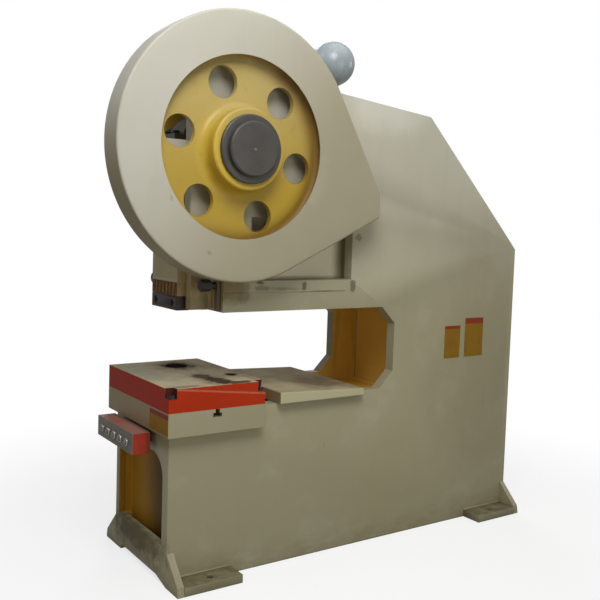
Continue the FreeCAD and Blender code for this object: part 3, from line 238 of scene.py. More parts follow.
def ochreInside(towards):
    # the faces that look into the frame are brushed with ochre enamel, dulled by oil mist, with painted
    # shade in their corners
    inside = [where("facing", (0.85, 0.95), towards=towards)]
    return [
        coat("facing", (0.85, 0.95), 1.0, "#E4BC58", towards=towards, rough=0.45),
        coat("cloud", (0.35, 0.7), 0.5, "#CFA03C", size=300, only=inside),
        coat("cloud", (0.52, 0.75), 0.3, "#7A5818", size=(60, 60, 420), only=inside),
        # painted shade in the corners inside
        coat("corner", (0.4, 1.0), 0.4, "#5B4218", size=90, rough=0.7, only=inside),
    ]


# oil, hand and weld marks on the gear side of the head, and painted light and shade on the side plate
headMarksAndPaintedLight = [
    mark((305, -815, 1362), (30, 105, 62), "#80714A", 0.9, 60, limits=(1.2, 0.5)),
    mark((305, -752, 1330), (20, 40, 30), "#6C6446", 0.6, 36, limits=(1.3, 0.4)),
    mark((305, -663, 1396), (12, 26, 10), "#5D563C", 0.9, 16),
    mark((305, -648, 1369), (12, 52, 16), "#7F7C62", 0.8, 24),
    mark((305, -520, 1364), (12, 120, 10), "#7C775C", 0.75, 48, rough=0.65, limits=(1.4, 0.2)),
    mark((305, -408, 1376), (12, 16, 26), "#66604A", 0.9, 12),
    mark((305, -300, 1349), (12, 80, 6), "#6E6951", 0.55, 45, rough=0.65, limits=(1.3, 0.2)),
    mark((305, -100, 1374), (12, 20, 38), "#6A644C", 0.85, 14),
    mark((305, -75, 1621), (12, 22, 20), "#77715A", 0.7, 14),
    mark((305, -40, 1716), (12, 40, 14), "#5F5942", 0.85, 18),
    mark((305, 905, 700), (12, 6, 60), "#8C866E", 0.5, 30),
    mark((305, -250, 560), (12, 9, 26), "#8F8970", 0.4, 12),
    # painted light: the top of the side plate lighter
    mark((305, 60, 2290), (60, 330, 130), "#D2CFC3", 0.6, 200, limits=(1.3, 0.3)),
    # painted shade: the rear lower part of the side plate darker
    mark((305, 880, 900), (60, 420, 900), "#958D74", 0.5, 300, limits=(1.3, 0.2)),
]
markedEnamel = over(creamEnamel, headMarksAndPaintedLight + ochreInside((-1, 0, 0)))
doorRelief = coat("box", (1.0, 0.995), 1.0, "#C2942E", middle=(-264, -1000, 390), half=(30, 97, 215),
                  rough=0.5)
farPlateEnamel = over(creamEnamel, ochreInside((1, 0, 0)) + [doorRelief])
# the front plate: ochre carried round into the opening
frontEnamel = over(creamEnamel, [
    coat("box", (1.0, 0.99), 1.0, "#A87A18", middle=(-10, -1100, 390), half=(262, 26, 222), rough=0.45,
         only=[where("facing", (0.5, 0.9), towards=(1, 0, 0))]),
    coat("spot", (1.4, 0.3), 0.85, "#554D32", middle=(-60, -1120, 145), half=(340, 30, 95), ragged=45,
         rough=0.8),
])
# the feet: trodden dirt on top, with painted shade darkest in the corner
footEnamel = over(creamEnamel, [
    coat("facing", (0.5, 0.9), 0.75, "#6F6849", towards=(0, 0, 1), rough=0.95),
    coat("cloud", (0.45, 0.65), 0.5, "#575038", size=60,
         only=[where("facing", (0.5, 0.9), towards=(0, 0, 1))]),
    # painted shade in the corner
    coat("corner", (0.25, 0.6), 0.7, "#484028", size=110, rough=0.9),
])
# the pressed pan behind the window: painted light on its face, painted shade down its rear wall, and darker
# along its bottom
recessEnamel = over(creamEnamel, [
    # painted light: the face lighter than the plate round it
    coat("facing", (0.5, 0.9), 0.95, "#EFEAD0", towards=(1, 0, 0)),
    # painted shade down the rear wall
    coat("along", (-190, -120), 0.8, "#6F6444", towards=(0, 1, 0)),
    coat("along", (1425, 1408), 0.5, "#7D755A", towards=(0, 0, 1)),
])

# the same enamel on thin sheet: smoother and glossier, with slow dents, and painted shade towards the lower
# rear, on faces looking down and in corners
guardEnamel = finish("#C2BFB1", 0.38, shine=0.15, bumps=[(6, 0.03), (240, 1.8)], layers=[
    # painted shade: darker towards the lower rear
    coat("along", (-2300, -1450), 1.0, "#A19A80", towards=(0, 0.8, -0.6)),
    coat("cloud", (0.35, 0.7), 0.3, "#B0AA95", size=700),
    coat("cloud", (0.5, 0.78), 0.14, "#A19A84", size=(90, 90, 420)),
    coat("cloud", (0.55, 0.75), 0.18, "#A7A892", size=240),
    # painted shade on faces that look down and forward
    coat("facing", (0.45, 0.95), 0.7, "#8E8360", towards=(0, -0.75, -0.66), rough=0.6),
    # painted shade in corners
    coat("corner", (0.4, 0.95), 0.5, "#6B634B", size=40),
    dustOnTop,
    coat("cloud", (0.72, 0.77), 0.45, "#7E765E", size=7, rough=0.6),
    coat("edge", (0.08, 0.3), 0.5, "#98917A", size=4, only=[where("cloud", (0.52, 0.64), size=30)]),
    mark((443, -1010, 1540), (9, 12, 9), "#8F8972", 0.6, 8),
    mark((443, -1195, 1770), (9, 7, 14), "#99937D", 0.5, 8),
])
# ochre enamel inside the frame: oil mist and dust have dulled it; painted shade in corners and across the
# front web, painted light on the throat web
innerOchre = finish("#DBAA40", 0.5, shine=0.12, bumps=[(8, 0.05), (120, 0.7)], layers=[
    coat("cloud", (0.35, 0.7), 0.5, "#BF8D28", size=380),
    coat("cloud", (0.5, 0.78), 0.4, "#7E5811", size=(60, 60, 520)),
    # painted shade in corners
    coat("corner", (0.5, 1.0), 0.5, "#4B340F", size=60, rough=0.7),
    coat("along", (330, 60), 0.6, "#5E4A22", towards=(0, 0, 1), rough=0.8),
    coat("along", (-1030, -1050), 0.6, "#9C7010", towards=(0, 1, 0)),
    # painted shadow: the front web darker towards the near side plate
    coat("along", (-150, 110), 0.85, "#2E2008", towards=(1, 0, 0),
         only=[where("along", (-1030, -1050), towards=(0, 1, 0))]),
    # painted light: the throat web lighter
    coat("along", (300, 350), 0.7, "#EFC868", towards=(0, 1, 0)),
    coat("cloud", (0.68, 0.74), 0.5, "#5A4115", size=12),
])
# ochre enamel on the cast gear: slightly grainy skin, oil thrown out against the rim, painted shadow of the
# guard's lip on the rim's right side, painted light round the hub and a painted sheen paler towards the top
gearCentre = (400, -835, 2000)
gearOchre = finish("#B8A464", 0.38, shine=0.3, bumps=[(5, 0.06), (60, 0.35)], layers=[
    # painted sheen: paler towards the top
    coat("along", (2330, 1760), 1.0, "#B4952A", towards=(0, 0, 1)),
    coat("cloud", (0.35, 0.7), 0.4, "#AE9440", size=300),
    # painted shadow of the guard's lip on the rim's right side
    coat("spot", (0.76, 1.0), 0.8, "#6B450F", middle=gearCentre, half=(900, 425, 425), rough=0.5,
         only=[where("along", (-1600, -1350), towards=(0, 0.94, -0.34))]),
    coat("spot", (0.86, 1.0), 0.5, "#6E5218", middle=gearCentre, half=(900, 425, 425),
         only=[where("cloud", (0.3, 0.6), size=120)]),
    # painted light round the hub's lower side
    coat("spot", (1.0, 0.72), 0.75, "#D0B03C", middle=gearCentre, half=(900, 250, 250),
         only=[where("along", (-160, 40), towards=(0, -0.9, -0.44))]),
    # painted shade in corners
    coat("corner", (0.4, 0.95), 0.25, "#9A7826", size=45, rough=0.55),
    coat("cloud", (0.56, 0.8), 0.3, "#96772C", size=60),
    coat("edge", (0.05, 0.3), 0.7, "#4A3A1C", size=5, rough=0.6,
         only=[where("cloud", (0.36, 0.55), size=30)]),
    coat("cloud", (0.68, 0.74), 0.45, "#6E5520", size=10),
])
# red enamel on the bolster's sides, its top worn to dull steel, dusty and stained with oil, with painted
# shade on its front and in corners
onTop = [where("facing", (0.5, 0.9), towards=(0, 0, 1))]
bolsterRed = finish("#B8320A", 0.5, shine=0.15, bumps=[(6, 0.06), (90, 0.4)], layers=[
    coat("cloud", (0.35, 0.7), 0.5, "#A42A0A", size=260),
    # painted shade: the front face darker red
    coat("facing", (0.6, 0.95), 0.7, "#941C02", towards=(0, -1, 0)),
    coat("cloud", (0.66, 0.72), 0.4, "#7A2A18", size=(14, 220, 14)),
    coat("cloud", (0.7, 0.74), 0.5, "#5E2416", size=16, rough=0.6),
    coat("along", (700, 660), 0.5, "#8C3A22", towards=(0, -1, 0),
         only=[where("along", (850, 905), towards=(0, 0, 1))]),
    coat("facing", (0.4, 0.8), 1.0, "#B8AC8E", towards=(0, 0, 1), rough=0.95),
    coat("cloud", (0.4, 0.66), 0.65, "#94856A", size=190, rough=0.95, only=onTop),
    coat("cloud", (0.54, 0.68), 0.6, "#7A6C4C", size=46, rough=0.95,
         only=[*onTop, where("cloud", (0.48, 0.6), size=210)]),
    coat("spot", (1.2, 0.4), 0.6, "#91937C", middle=(-160, -1080, 930), half=(300, 110, 60), ragged=120,
         rough=0.85, only=onTop),
    coat("cloud", (0.58, 0.72), 0.5, "#7C6F56", size=(160, 30, 30), only=onTop),
    coat("line", (11, 3), 0.4, "#A59F92", start=(-120, -1062, 930), end=(330, -1050, 930), rough=0.8,
         only=[where("cloud", (0.32, 0.5), size=90)]),
    mark((-190, -848, 930), (150, 130, 60), "#7A6847", 0.7, 80, rough=0.95, limits=(1.25, 0.45), only=onTop),
    mark((-190, -843, 930), (98, 90, 60), "#352817", 0.9, 36, rough=0.95, limits=(1.15, 0.7), only=onTop),
    mark((140, -708, 930), (46, 40, 40), "#4E4126", 0.8, 30, rough=0.8, only=onTop),
    coat("line", (26, 6), 0.5, "#6B5A40", start=(40, -660, 930), end=(352, -668, 930), rough=0.7,
         only=onTop),
    mark((205, -850, 930), (200, 96, 60), "#75664A", 0.6, 80, rough=0.95, limits=(1.2, 0.5), only=onTop),
    mark((140, -866, 930), (84, 46, 60), "#43362A", 0.92, 34, rough=0.95, only=onTop),
    mark((255, -838, 930), (104, 54, 60), "#372C20", 0.95, 36, rough=0.95, only=onTop),
    mark((330, -770, 930), (34, 74, 60), "#40351F", 0.9, 36, rough=0.95, only=onTop),
    mark((320, -1050, 930), (26, 70, 60), "#5B6047", 0.6, 40, rough=0.7, only=onTop),
    coat("line", (6, 2.5), 0.7, "#C2765A", start=(355, -1105, 926), end=(355, -644, 871), rough=0.4,
         raised=-0.5, only=[where("cloud", (0.3, 0.45), size=60)]),
    coat("edge", (0.04, 0.25), 0.85, "#A79C85", size=7, rough=0.5, metal=0.2,
         only=[where("cloud", (0.42, 0.56), size=40), where("along", (880, 925), towards=(0, 0, 1))]),
    coat("spot", (1.0, 0.995), 1.0, "#251C12", middle=(-190, -849, 880), half=(61.5, 61.5, 300), rough=0.6),
    coat("spot", (1.0, 0.98), 1.0, "#251C12", middle=(142, -715, 880), half=(26, 26, 300), rough=0.6),
    coat("box", (1.0, 0.98), 0.85, "#23211A", middle=(345, -1136, 912), half=(31, 31, 29), rough=0.7),
    coat("box", (1.0, 0.98), 0.85, "#23211A", middle=(345, -654, 912), half=(31, 31, 29), rough=0.7),
    # painted shade in corners
    coat("corner", (0.45, 1.0), 0.7, "#2A1B12", size=40, rough=0.7),
])
# slabs in cream enamel, their tops rubbed, greyed and dirtied by the work that slides over them; painted
# shade on their fronts and painted light on the rear slab's side
rubbedCream = over(creamEnamel, [
    # painted shade: front faces darker
    coat("facing", (0.6, 0.95), 0.75, "#8B7651", towards=(0, -1, 0)),
    # painted light: the rear slab's side lighter
    coat("facing", (0.6, 0.95), 0.9, "#C0BC97", towards=(1, 0, 0),
         only=[where("along", (-640, -580), towards=(0, 1, 0))]),
    coat("facing", (0.7, 0.97), 0.9, "#B0A282", towards=(0, 0, 1), rough=0.95),
    coat("cloud", (0.36, 0.66), 0.7, "#847453", size=240, rough=0.95, only=onTop),
    coat("cloud", (0.54, 0.72), 0.3, "#9A9078", size=(150, 70, 50), rough=0.95, only=onTop),
    mark((120, -160, 850), (190, 150, 60), "#57492C", 0.7, 110, rough=0.95, limits=(1.3, 0.4), only=onTop),
])
# cream enamel on the ram's front, rust in the slots, bare and oily on the guided faces, a painted highlight
# along the top of the slots and painted shade in corners
ramEnamel = finish("#AEA27C", 0.42, shine=0.3, bumps=[(6, 0.06), (70, 0.3)], layers=[
    coat("cloud", (0.4, 0.7), 0.5, "#958A66", size=160),
    # painted highlight: a light band above the slots
    coat("along", (1404, 1394), 0.7, "#BDB298", towards=(0, 0, 1)),
    coat("along", (1390, 1384), 1.0, "#5A3A1C", towards=(0, 0, 1), rough=0.6),
    coat("box", (1.05, 0.95), 1.0, "#2A1A0E", middle=(0, -1004, 1355), half=(140, 9.5, 40), rough=0.75),
    coat("cloud", (0.4, 0.62), 0.85, "#9A6A38", size=(12, 12, 60), rough=0.8,
         only=[where("along", (1388, 1380), towards=(0, 0, 1)),
               where("along", (-1008, -1012), towards=(0, 1, 0))]),
    coat("facing", (0.6, 0.9), 0.9, "#A8946C", towards=(1, 0, 0), rough=0.5),
    coat("facing", (0.6, 0.9), 0.9, "#A8946C", towards=(-1, 0, 0), rough=0.5),
    # painted shade in corners
    coat("corner", (0.4, 1.0), 0.6, "#3A2D18", size=30, rough=0.5),
])
# scraped cast iron under old oil and worn enamel, with painted shade on the flange's front and in corners
gibIron = finish("#B09C74", 0.5, shine=0.3, bumps=[(5, 0.08), (40, 0.3)], layers=[
    coat("cloud", (0.38, 0.66), 0.5, "#97835C", size=120),
    mark((200, -930, 1296), (60, 70, 40), "#9A9070", 0.9, 36),
    mark((262, -870, 1300), (40, 40, 60), "#94896A", 0.8, 30),
    coat("box", (1.1, 0.85), 0.85, "#87603F", middle=(236, -875, 1318), half=(14, 40, 46), rough=0.6),
    # painted shade on the front of the gib's flange
    coat("box", (1.1, 0.85), 0.85, "#4C3D33", middle=(274, -875, 1330), half=(16, 40, 80), rough=0.5),
    # painted shade in corners
    coat("corner", (0.5, 1.0), 0.5, "#3E3018", size=25, rough=0.4),
])
# blackened steel, wet with oil in places
oiledSteel = finish("#332C2A", 0.5, shine=0.3, metal=0.25, bumps=[(6, 0.08)], layers=[
    coat("cloud", (0.4, 0.7), 0.6, "#231E1D", size=70, rough=0.35),
    coat("cloud", (0.58, 0.72), 0.5, "#4A4034", size=14, rough=0.6),
    coat("edge", (0.08, 0.3), 0.5, "#6B655C", size=3, rough=0.35),
])
# turned and blackened steel at the end of the crankshaft: fine turning rings under a dark film
blackTurned = finish("#4E4C48", 0.45, shine=0.3, metal=0.25, bumps=[(9, 0.05)], layers=[
    coat("cloud", (0.4, 0.7), 0.5, "#3E3B37", size=120),
    coat("cloud", (0.6, 0.75), 0.4, "#5C5750", size=18, rough=0.55),
    coat("spot", (1.0, 0.5), 0.7, "#7E796F", middle=(520, -835, 2000), half=(20, 8, 8), rough=0.4),
    coat("edge", (0.06, 0.3), 0.5, "#6E6A62", size=4, rough=0.35),
])
# turned steel, bright where it runs
turnedSteel = finish("#8E8A83", 0.3, metal=1.0, bumps=[(12, 0.05)], layers=[
    coat("cloud", (0.4, 0.6), 0.4, "#76716A", size=(3, 60, 60), rough=0.42),
    coat("cloud", (0.5, 0.75), 0.5, "#5A5245", size=70, rough=0.5),
])
# cast bronze, machined, with an oil film
bearingBronze = finish("#A8763A", 0.32, metal=1.0, bumps=[(8, 0.04)], layers=[
    coat("cloud", (0.4, 0.7), 0.6, "#7D5526", size=40, rough=0.45),
    coat("cloud", (0.45, 0.6), 0.3, "#C09050", size=(4, 60, 60)),
])
# sand-cast skin in grey primer, bare on machined faces, with painted shade in corners
castIron = finish("#6B6C69", 0.6, shine=0.3, metal=0.1, bumps=[(4, 0.25), (30, 0.4)], layers=[
    coat("cloud", (0.4, 0.7), 0.6, "#565651", size=150),
    # painted shade in corners
    coat("corner", (0.35, 1.0), 0.6, "#37322A", size=45),
    coat("edge", (0.06, 0.3), 0.7, "#9A9790", size=4, rough=0.35, metal=0.8),
    coat("cloud", (0.6, 0.75), 0.5, "#4A463D", size=8),
])
# grey-blue enamel on rolled sheet, with painted shade on its lower side
receiverBlue = finish("#9FA9AD", 0.28, bumps=[(6, 0.03), (90, 0.5)], layers=[
    coat("cloud", (0.4, 0.7), 0.4, "#87939A", size=180),
    # painted shade: darker on the lower side
    coat("along", (2560, 2400), 0.5, "#7A858B", towards=(0, 0, 1)),
    coat("cloud", (0.68, 0.73), 0.4, "#6E7678", size=9, rough=0.5),
    coat("facing", (0.7, 1.0), 0.35, "#A7A79C", towards=(0, 0, 1), rough=0.6,
         only=[where("cloud", (0.35, 0.65), size=60)]),
])
# red powder coat, faded pink and dusty on top
boxRed = finish("#AE3420", 0.4, shine=0.3, bumps=[(4, 0.06)], layers=[
    coat("cloud", (0.4, 0.7), 0.5, "#962818", size=90),
    coat("facing", (0.5, 0.95), 0.85, "#9B7468", towards=(0, 0, 1), rough=0.6,
         only=[where("cloud", (0.2, 0.5), size=110)]),
    coat("along", (-246, -252), 0.95, "#2A2724", towards=(1, 0, 0)),
    coat("along", (-1180, -1160), 0.6, "#4A3A32", towards=(0, 1, 0)),
    coat("edge", (0.06, 0.3), 0.7, "#5A2A20", size=4, rough=0.5,
         only=[where("cloud", (0.45, 0.6), size=20)]),
])
# grey coated sheet, rubbed by hands
panelGrey = finish("#6E6A5E", 0.45, shine=0.3, bumps=[(3, 0.05)], layers=[
    coat("cloud", (0.4, 0.7), 0.6, "#7C776A", size=60, rough=0.5),
    coat("cloud", (0.62, 0.7), 0.4, "#57534A", size=(60, 8, 8)),
    coat("along", (-244, -250), 0.95, "#2A2724", towards=(1, 0, 0)),
    coat("edge", (0.06, 0.3), 0.7, "#8A857A", size=3, rough=0.4),
])
# satin aluminium collars
bezelMetal = finish("#B5B2AB", 0.32, metal=1.0, bumps=[(4, 0.03)], layers=[
    coat("cloud", (0.45, 0.7), 0.5, "#8F8B82", size=18, rough=0.45),
])
# moulded grey phenolic caps, greasy from hands, with painted shade in their crevices
buttonPlastic = finish("#757165", 0.3, bumps=[(5, 0.03)], layers=[
    coat("cloud", (0.4, 0.7), 0.5, "#615D52", size=20, rough=0.4),
    # painted shade in crevices
    coat("corner", (0.4, 1.0), 0.7, "#3E3A30", size=8),
])
# printed sheet: yellow with a red band on top
plateYellow = finish("#8E6A1A", 0.5, shine=0.15, bumps=[(4, 0.03)], layers=[
    coat("cloud", (0.4, 0.7), 0.5, "#7C5B16", size=50),
    coat("box", (1.02, 0.98), 1.0, "#8E3620", middle=(307, 627, 1125), half=(12, 75, 9)),
    coat("box", (1.02, 0.98), 1.0, "#8E3620", middle=(307, 800, 1158), half=(12, 90, 17)),
    coat("box", (1.02, 0.98), 1.0, "#7A3426", middle=(255, -1148, 802), half=(120, 12, 10.5)),
    coat("cloud", (0.6, 0.7), 0.5, "#6E5018", size=12),
])
# the receiver's enamel in a darker grey, sprayed on the motor's cast housing
motorGrey = {**receiverBlue, "colour": "#6E777A"}
# moulded neoprene with fine cord marks
beltRubber = finish("#24221F", 0.7, bumps=[(3, 0.1)], layers=[
    coat("cloud", (0.4, 0.7), 0.5, "#34302B", size=30),
])

# each finish and the nodes that wear it
finishes = {
    "creamEnamel": (creamEnamel, ["rear_plate", "roof_plate", "receiver_saddles"]),
    "footEnamel": (footEnamel, ["anchor_feet"]),
    "frontEnamel": (frontEnamel, ["front_plate"]),
    "farPlateEnamel": (farPlateEnamel, ["side_plate_left"]),
    "markedEnamel": (markedEnamel, ["side_plate_right", "side_ledge", "gear_guard_stays"]),
    "recessEnamel": (recessEnamel, ["recess_pan"]),
    "rubbedCream": (rubbedCream, ["table_block", "rear_table_slab"]),
    "guardEnamel": (guardEnamel, ["gear_guard", "belt_guard"]),
    "innerOchre": (innerOchre, ["front_web", "throat_floor_plate", "throat_web", "head_floor_plate",
                                "motor_base"]),
    "gearOchre": (gearOchre, ["main_gear"]),
    "bolsterRed": (bolsterRed, ["bolster_plate"]),
    "ramEnamel": (ramEnamel, ["ram"]),
    "gibIron": (gibIron, ["gib_right", "gib_left"]),
    "oiledSteel": (oiledSteel, ["shank_clamp", "shank_clamp_screws", "frame_bolts", "rod_cap_bolts",
                                "pinion_gear"]),
    "blackTurned": (blackTurned, ["locking_collar", "end_cap"]),
    "turnedSteel": (turnedSteel, ["crankshaft", "adjusting_screw", "lock_ring", "pinion_shaft",
                                  "motor_shaft", "flywheel_bearings"]),
    "bearingBronze": (bearingBronze, ["bearing_bushes", "rod_bush", "ball_seat", "ball_retainer"]),
    "castIron": (castIron, ["bearing_housings", "connecting_rod", "rod_cap", "flywheel", "motor_pulley",
                            "clutch_brake_unit"]),
    "receiverBlue": (receiverBlue, ["air_receiver"]),
    "motorGrey": (motorGrey, ["motor_body"]),
    "boxRed": (boxRed, ["control_box", "control_box_brackets"]),
    "panelGrey": (panelGrey, ["control_panel"]),
    "bezelMetal": (bezelMetal, ["button_bezels"]),
    "buttonPlastic": (buttonPlastic, [f"push_button_{i}" for i in range(1, 6)]),
    "plateYellow": (plateYellow, ["blank_plates"]),
    "beltRubber": (beltRubber, ["v_belts"]),
}
materials = {}
finishOf = {}
for finishName, (look, members) in finishes.items():
    materials[finishName] = makeFinish(finishName, look)
    for member in members:
        finishOf[member] = finishName
for name, node in nodes.items():
    node.data.materials.clear()
    node.data.materials.append(materials[finishOf[name]])
print("materials made:", len(materials))

bodyOf = {name: body for body, members in frame["record"]["behaviour"]["bodies"].items() for name in members}


def addPiece(name, mesh, replaced):
    # links a mesh as a piece that rides where the replaced nodes ride
    piece = bpy.data.objects.new(name, mesh)
    scene.collection.objects.link(piece)
    piece.data.materials.clear()
    piece.data.materials.append(materials[finishOf[replaced]])
    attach(piece, bodyOf[replaced])
    return piece


def gridMesh(name, points, closeU=True, closeV=True):
    # points is a (u, v, 3) grid; each neighbouring four make a face, and closed directions wrap round
    countU, countV = points.shape[:2]
    rows = np.arange(countU if closeU else countU - 1)
    columns = np.arange(countV if closeV else countV - 1)
    u, v = np.meshgrid(rows, columns, indexing="ij")
    nextU, nextV = (u + 1) % countU, (v + 1) % countV
    faces = np.stack([u * countV + v, nextU * countV + v, nextU * countV + nextV, u * countV + nextV], -1)
    mesh = bpy.data.meshes.new(name)
    mesh.from_pydata(points.reshape(-1, 3), [], faces.reshape(-1, 4))
    return mesh


def tidyMesh(mesh, smoothAngle=35):
    # merges doubled points, turns faces outwards and keeps only real corners sharp
    work = bmesh.new()
    work.from_mesh(mesh)
    bmesh.ops.remove_doubles(work, verts=work.verts, dist=1e-6)
    bmesh.ops.dissolve_degenerate(work, edges=work.edges, dist=1e-7)
    bmesh.ops.recalc_face_normals(work, faces=work.faces)
    work.to_mesh(mesh)
    work.free()
    mesh.polygons.foreach_set("use_smooth", np.ones(len(mesh.polygons), bool))
    mesh.set_sharp_from_angle(angle=math.radians(smoothAngle))
    return mesh


def joinMeshes(name, parts):
    # puts several meshes into one
    work = bmesh.new()
    for part in parts:
        work.from_mesh(part)
    mesh = bpy.data.meshes.new(name)
    work.to_mesh(mesh)
    work.free()
    return mesh


def roundedProfile(corners, steps=5):
    # corners are (along, radius, rounding); a rounded one becomes a quadratic curve that leaves both of its
    # sides at rounding / tan(half the corner's angle)
    points = np.array([c[:2] for c in corners], float)
    result = []
    for index, here in enumerate(points):
        radius = corners[index][2]
        if radius == 0:
            result.append(here[None])
            continue
        before, after = points[index - 1] - here, points[(index + 1) % len(corners)] - here
        before, after = before / np.linalg.norm(before), after / np.linalg.norm(after)
        half = math.acos(np.clip(before @ after, -1, 1)) / 2
        reach = radius / math.tan(half)
        t = np.linspace(0, 1, steps + 1)[:, None]
        result.append(here + before * reach * (1 - t) ** 2 + after * reach * t ** 2)
    return np.concatenate(result)


def turnedMesh(name, corners, centre, axis="X", steps=96, closed=True):
    # a profile of (along, radius) in mm carried round an axis, each point at radius times the cosine and
    # sine of the turn
    profile = roundedProfile(corners) * mm
    angle = np.linspace(0, 2 * np.pi, steps, endpoint=False)[:, None]
    along = np.broadcast_to(profile[None, :, 0], (steps, len(profile)))
    first, second = profile[None, :, 1] * np.cos(angle), profile[None, :, 1] * np.sin(angle)
    order = {"X": (along, first, second), "Y": (second, along, first)}[axis]
    points = np.stack(order, -1) + np.array(centre) * mm
    return tidyMesh(gridMesh(name, points, closeV=closed))


welded = ["side_plate_right", "side_plate_left", "front_plate", "rear_plate", "anchor_feet", "roof_plate",
          "recess_pan", "side_ledge", "front_web", "throat_web", "throat_floor_plate", "head_floor_plate"]
weldTrees = {name: BVHTree.FromPolygons([v.co for v in nodes[name].data.vertices],
                                        [p.vertices for p in nodes[name].data.polygons]) for name in welded}
weldBoxes = {name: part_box(name) for name in welded}
oddRay = Vector((0.267, 0.535, 0.802))  # a slanting direction, so that the ray misses edges


def insideAnother(point, own):
    # a point lies in another welded plate if a ray from it crosses that plate's skin an odd number of times
    for name, tree in weldTrees.items():
        low, high = weldBoxes[name]
        if name == own or any(point[i] < low[i] or point[i] > high[i] for i in range(3)):
            continue
        crossings, start = 0, point.copy()
        while (hit := tree.ray_cast(start, oddRay))[0] is not None:
            crossings += 1
            start = hit[0] + oddRay * 1e-5
        if crossings % 2:
            return True
    return False


# degrees under which faces are merged or count as one round skin, and mm for the end pieces of sharp edges
roundRule = {"flat": 0.6, "corner": 32, "endPiece": 9, "shortest": 30}


def softenNode(name, look):
    # a copy of a flat-sided CAD node with each edge cut back by two or three segments of a round;
    # an edge that lies flush on another welded plate isn't cut
    mesh = nodes[name].data.copy()
    work = bmesh.new()
    work.from_mesh(mesh)
    bmesh.ops.remove_doubles(work, verts=work.verts, dist=2e-6)
    flat, limit = math.radians(roundRule["flat"]), math.radians(roundRule["corner"])
    bmesh.ops.dissolve_limit(work, angle_limit=flat, verts=work.verts, edges=work.edges)
    for height in look.get("split", []):  # level cuts that keep a comb-like face simple
        everything = work.verts[:] + work.edges[:] + work.faces[:]
        bmesh.ops.bisect_plane(work, geom=everything, dist=1e-6, plane_co=(0, 0, height * mm),
                               plane_no=(0, 0, 1))
    for face in work.faces:  # only the facets of a curved skin are shaded smooth
        edges = [edge for edge in face.edges if len(edge.link_faces) == 2]
        face.smooth = any(edge.calc_face_angle(0) < limit for edge in edges)
    rounded, joined = [], []
    for edge in work.edges:
        if len(edge.link_faces) != 2 or edge.calc_face_angle(0) < limit:
            continue
        middle = (edge.verts[0].co + edge.verts[1].co) / 2
        first, second = (face.normal * mm for face in edge.link_faces)
        flush = name in welded and (insideAnother(middle + first - second, name)
                                    or insideAnother(middle + second - first, name))
        (joined if flush else rounded).append(edge)
    for edge in joined:
        edge.smooth = False
        if edge.calc_length() > roundRule["shortest"] * mm:  # an end piece takes up the next rounding's turn
            for end in edge.verts[:]:
                bmesh.utils.edge_split(edge, end, roundRule["endPiece"] * mm / edge.calc_length())
    made = bmesh.ops.bevel(work, geom=rounded, offset=look["edge"] * mm, offset_type="OFFSET",
                           segments=look.get("steps", 2), profile=0.5, affect="EDGES", clamp_overlap=True)
    for face in made["faces"]:
        face.smooth = True
    work.to_mesh(mesh)
    work.free()
    piece = addPiece(f"{name}_rounded", mesh, name)
    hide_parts(name)


# plates and blocks are sawn, ground and painted, so their edges are round by a few millimetres
edgeSizes = {
    "side_plate_right": {"edge": 3}, "side_plate_left": {"edge": 3}, "front_plate": {"edge": 3.5},
    "rear_plate": {"edge": 3.5}, "anchor_feet": {"edge": 4}, "roof_plate": {"edge": 3},
    "recess_pan": {"edge": 3}, "side_ledge": {"edge": 1.5}, "table_block": {"edge": 3},
    "bolster_plate": {"edge": 3.5}, "rear_table_slab": {"edge": 5, "steps": 3}, "front_web": {"edge": 2},
    "throat_floor_plate": {"edge": 2}, "throat_web": {"edge": 2}, "head_floor_plate": {"edge": 2},
    "ram": {"edge": 1.5, "split": [1326, 1384]}, "shank_clamp": {"edge": 2}, "gib_right": {"edge": 2},
    "gib_left": {"edge": 2}, "control_box": {"edge": 1.2}, "control_panel": {"edge": 1},
    "control_box_brackets": {"edge": 1.5}, "blank_plates": {"edge": 0.6},
    "receiver_saddles": {"edge": 1.5}, "gear_guard_stays": {"edge": 1}, "motor_base": {"edge": 2},
    "connecting_rod": {"edge": 2.5}, "rod_cap": {"edge": 2.5}, "lock_ring": {"edge": 2},
}
for name, look in edgeSizes.items():
    softenNode(name, look)
print("edges rounded:", len(edgeSizes))


# sheet guards: a flat face with a round window, a rolled corner and a rim
gearAxis = (-835, 2000)
centreDistance, pinionDrop = 640, math.radians(15)  # the pinion lies behind the gear and lower
pinionAxis = (gearAxis[0] + centreDistance * math.cos(pinionDrop),
              gearAxis[1] - centreDistance * math.sin(pinionDrop))
gearGuardShape = {
    "node": "gear_guard", "back": 305, "face": 443, "sheet": 5, "corner": 11, "lip": (0.004, 0.8),
    "window": 407, "centre": (-840, 2008),
    "discs": [(-840, 2008, 602), (-67, 1843.1, 15), (-67, 1732.0, 15)],
}
beltGuardShape = {
    "node": "belt_guard", "back": -305, "face": -520, "sheet": 5, "corner": 14, "lip": (0.004, 0.8),
    "window": 325, "centre": pinionAxis,
    "discs": [(*pinionAxis, 482), (643, 1520, 152)],
}


def hullOutline(discs, spacing=9):
    # the taut outline round discs: for each direction, the disc that reaches furthest that way
    angle = np.radians(np.arange(0, 360, 1.0))
    normal = np.stack([np.cos(angle), np.sin(angle)], -1)
    centre = np.array([disc[:2] for disc in discs], float)
    radius = np.array([disc[2] for disc in discs], float)
    best = np.argmax(normal @ centre.T + radius, axis=1)
    point = centre[best] + radius[best, None] * normal
    loop = np.concatenate([point, point[:1]])
    length = np.concatenate([[0], np.cumsum(np.linalg.norm(np.diff(loop, axis=0), axis=1))])
    wanted = np.unique(np.concatenate([length[:-1], np.arange(0, length[-1], spacing)]))
    point, normal = (np.stack([np.interp(wanted, length, np.append(side, side[0])) for side in part.T], -1)
                     for part in (point, normal))
    return point, normal / np.linalg.norm(normal, axis=1, keepdims=True)


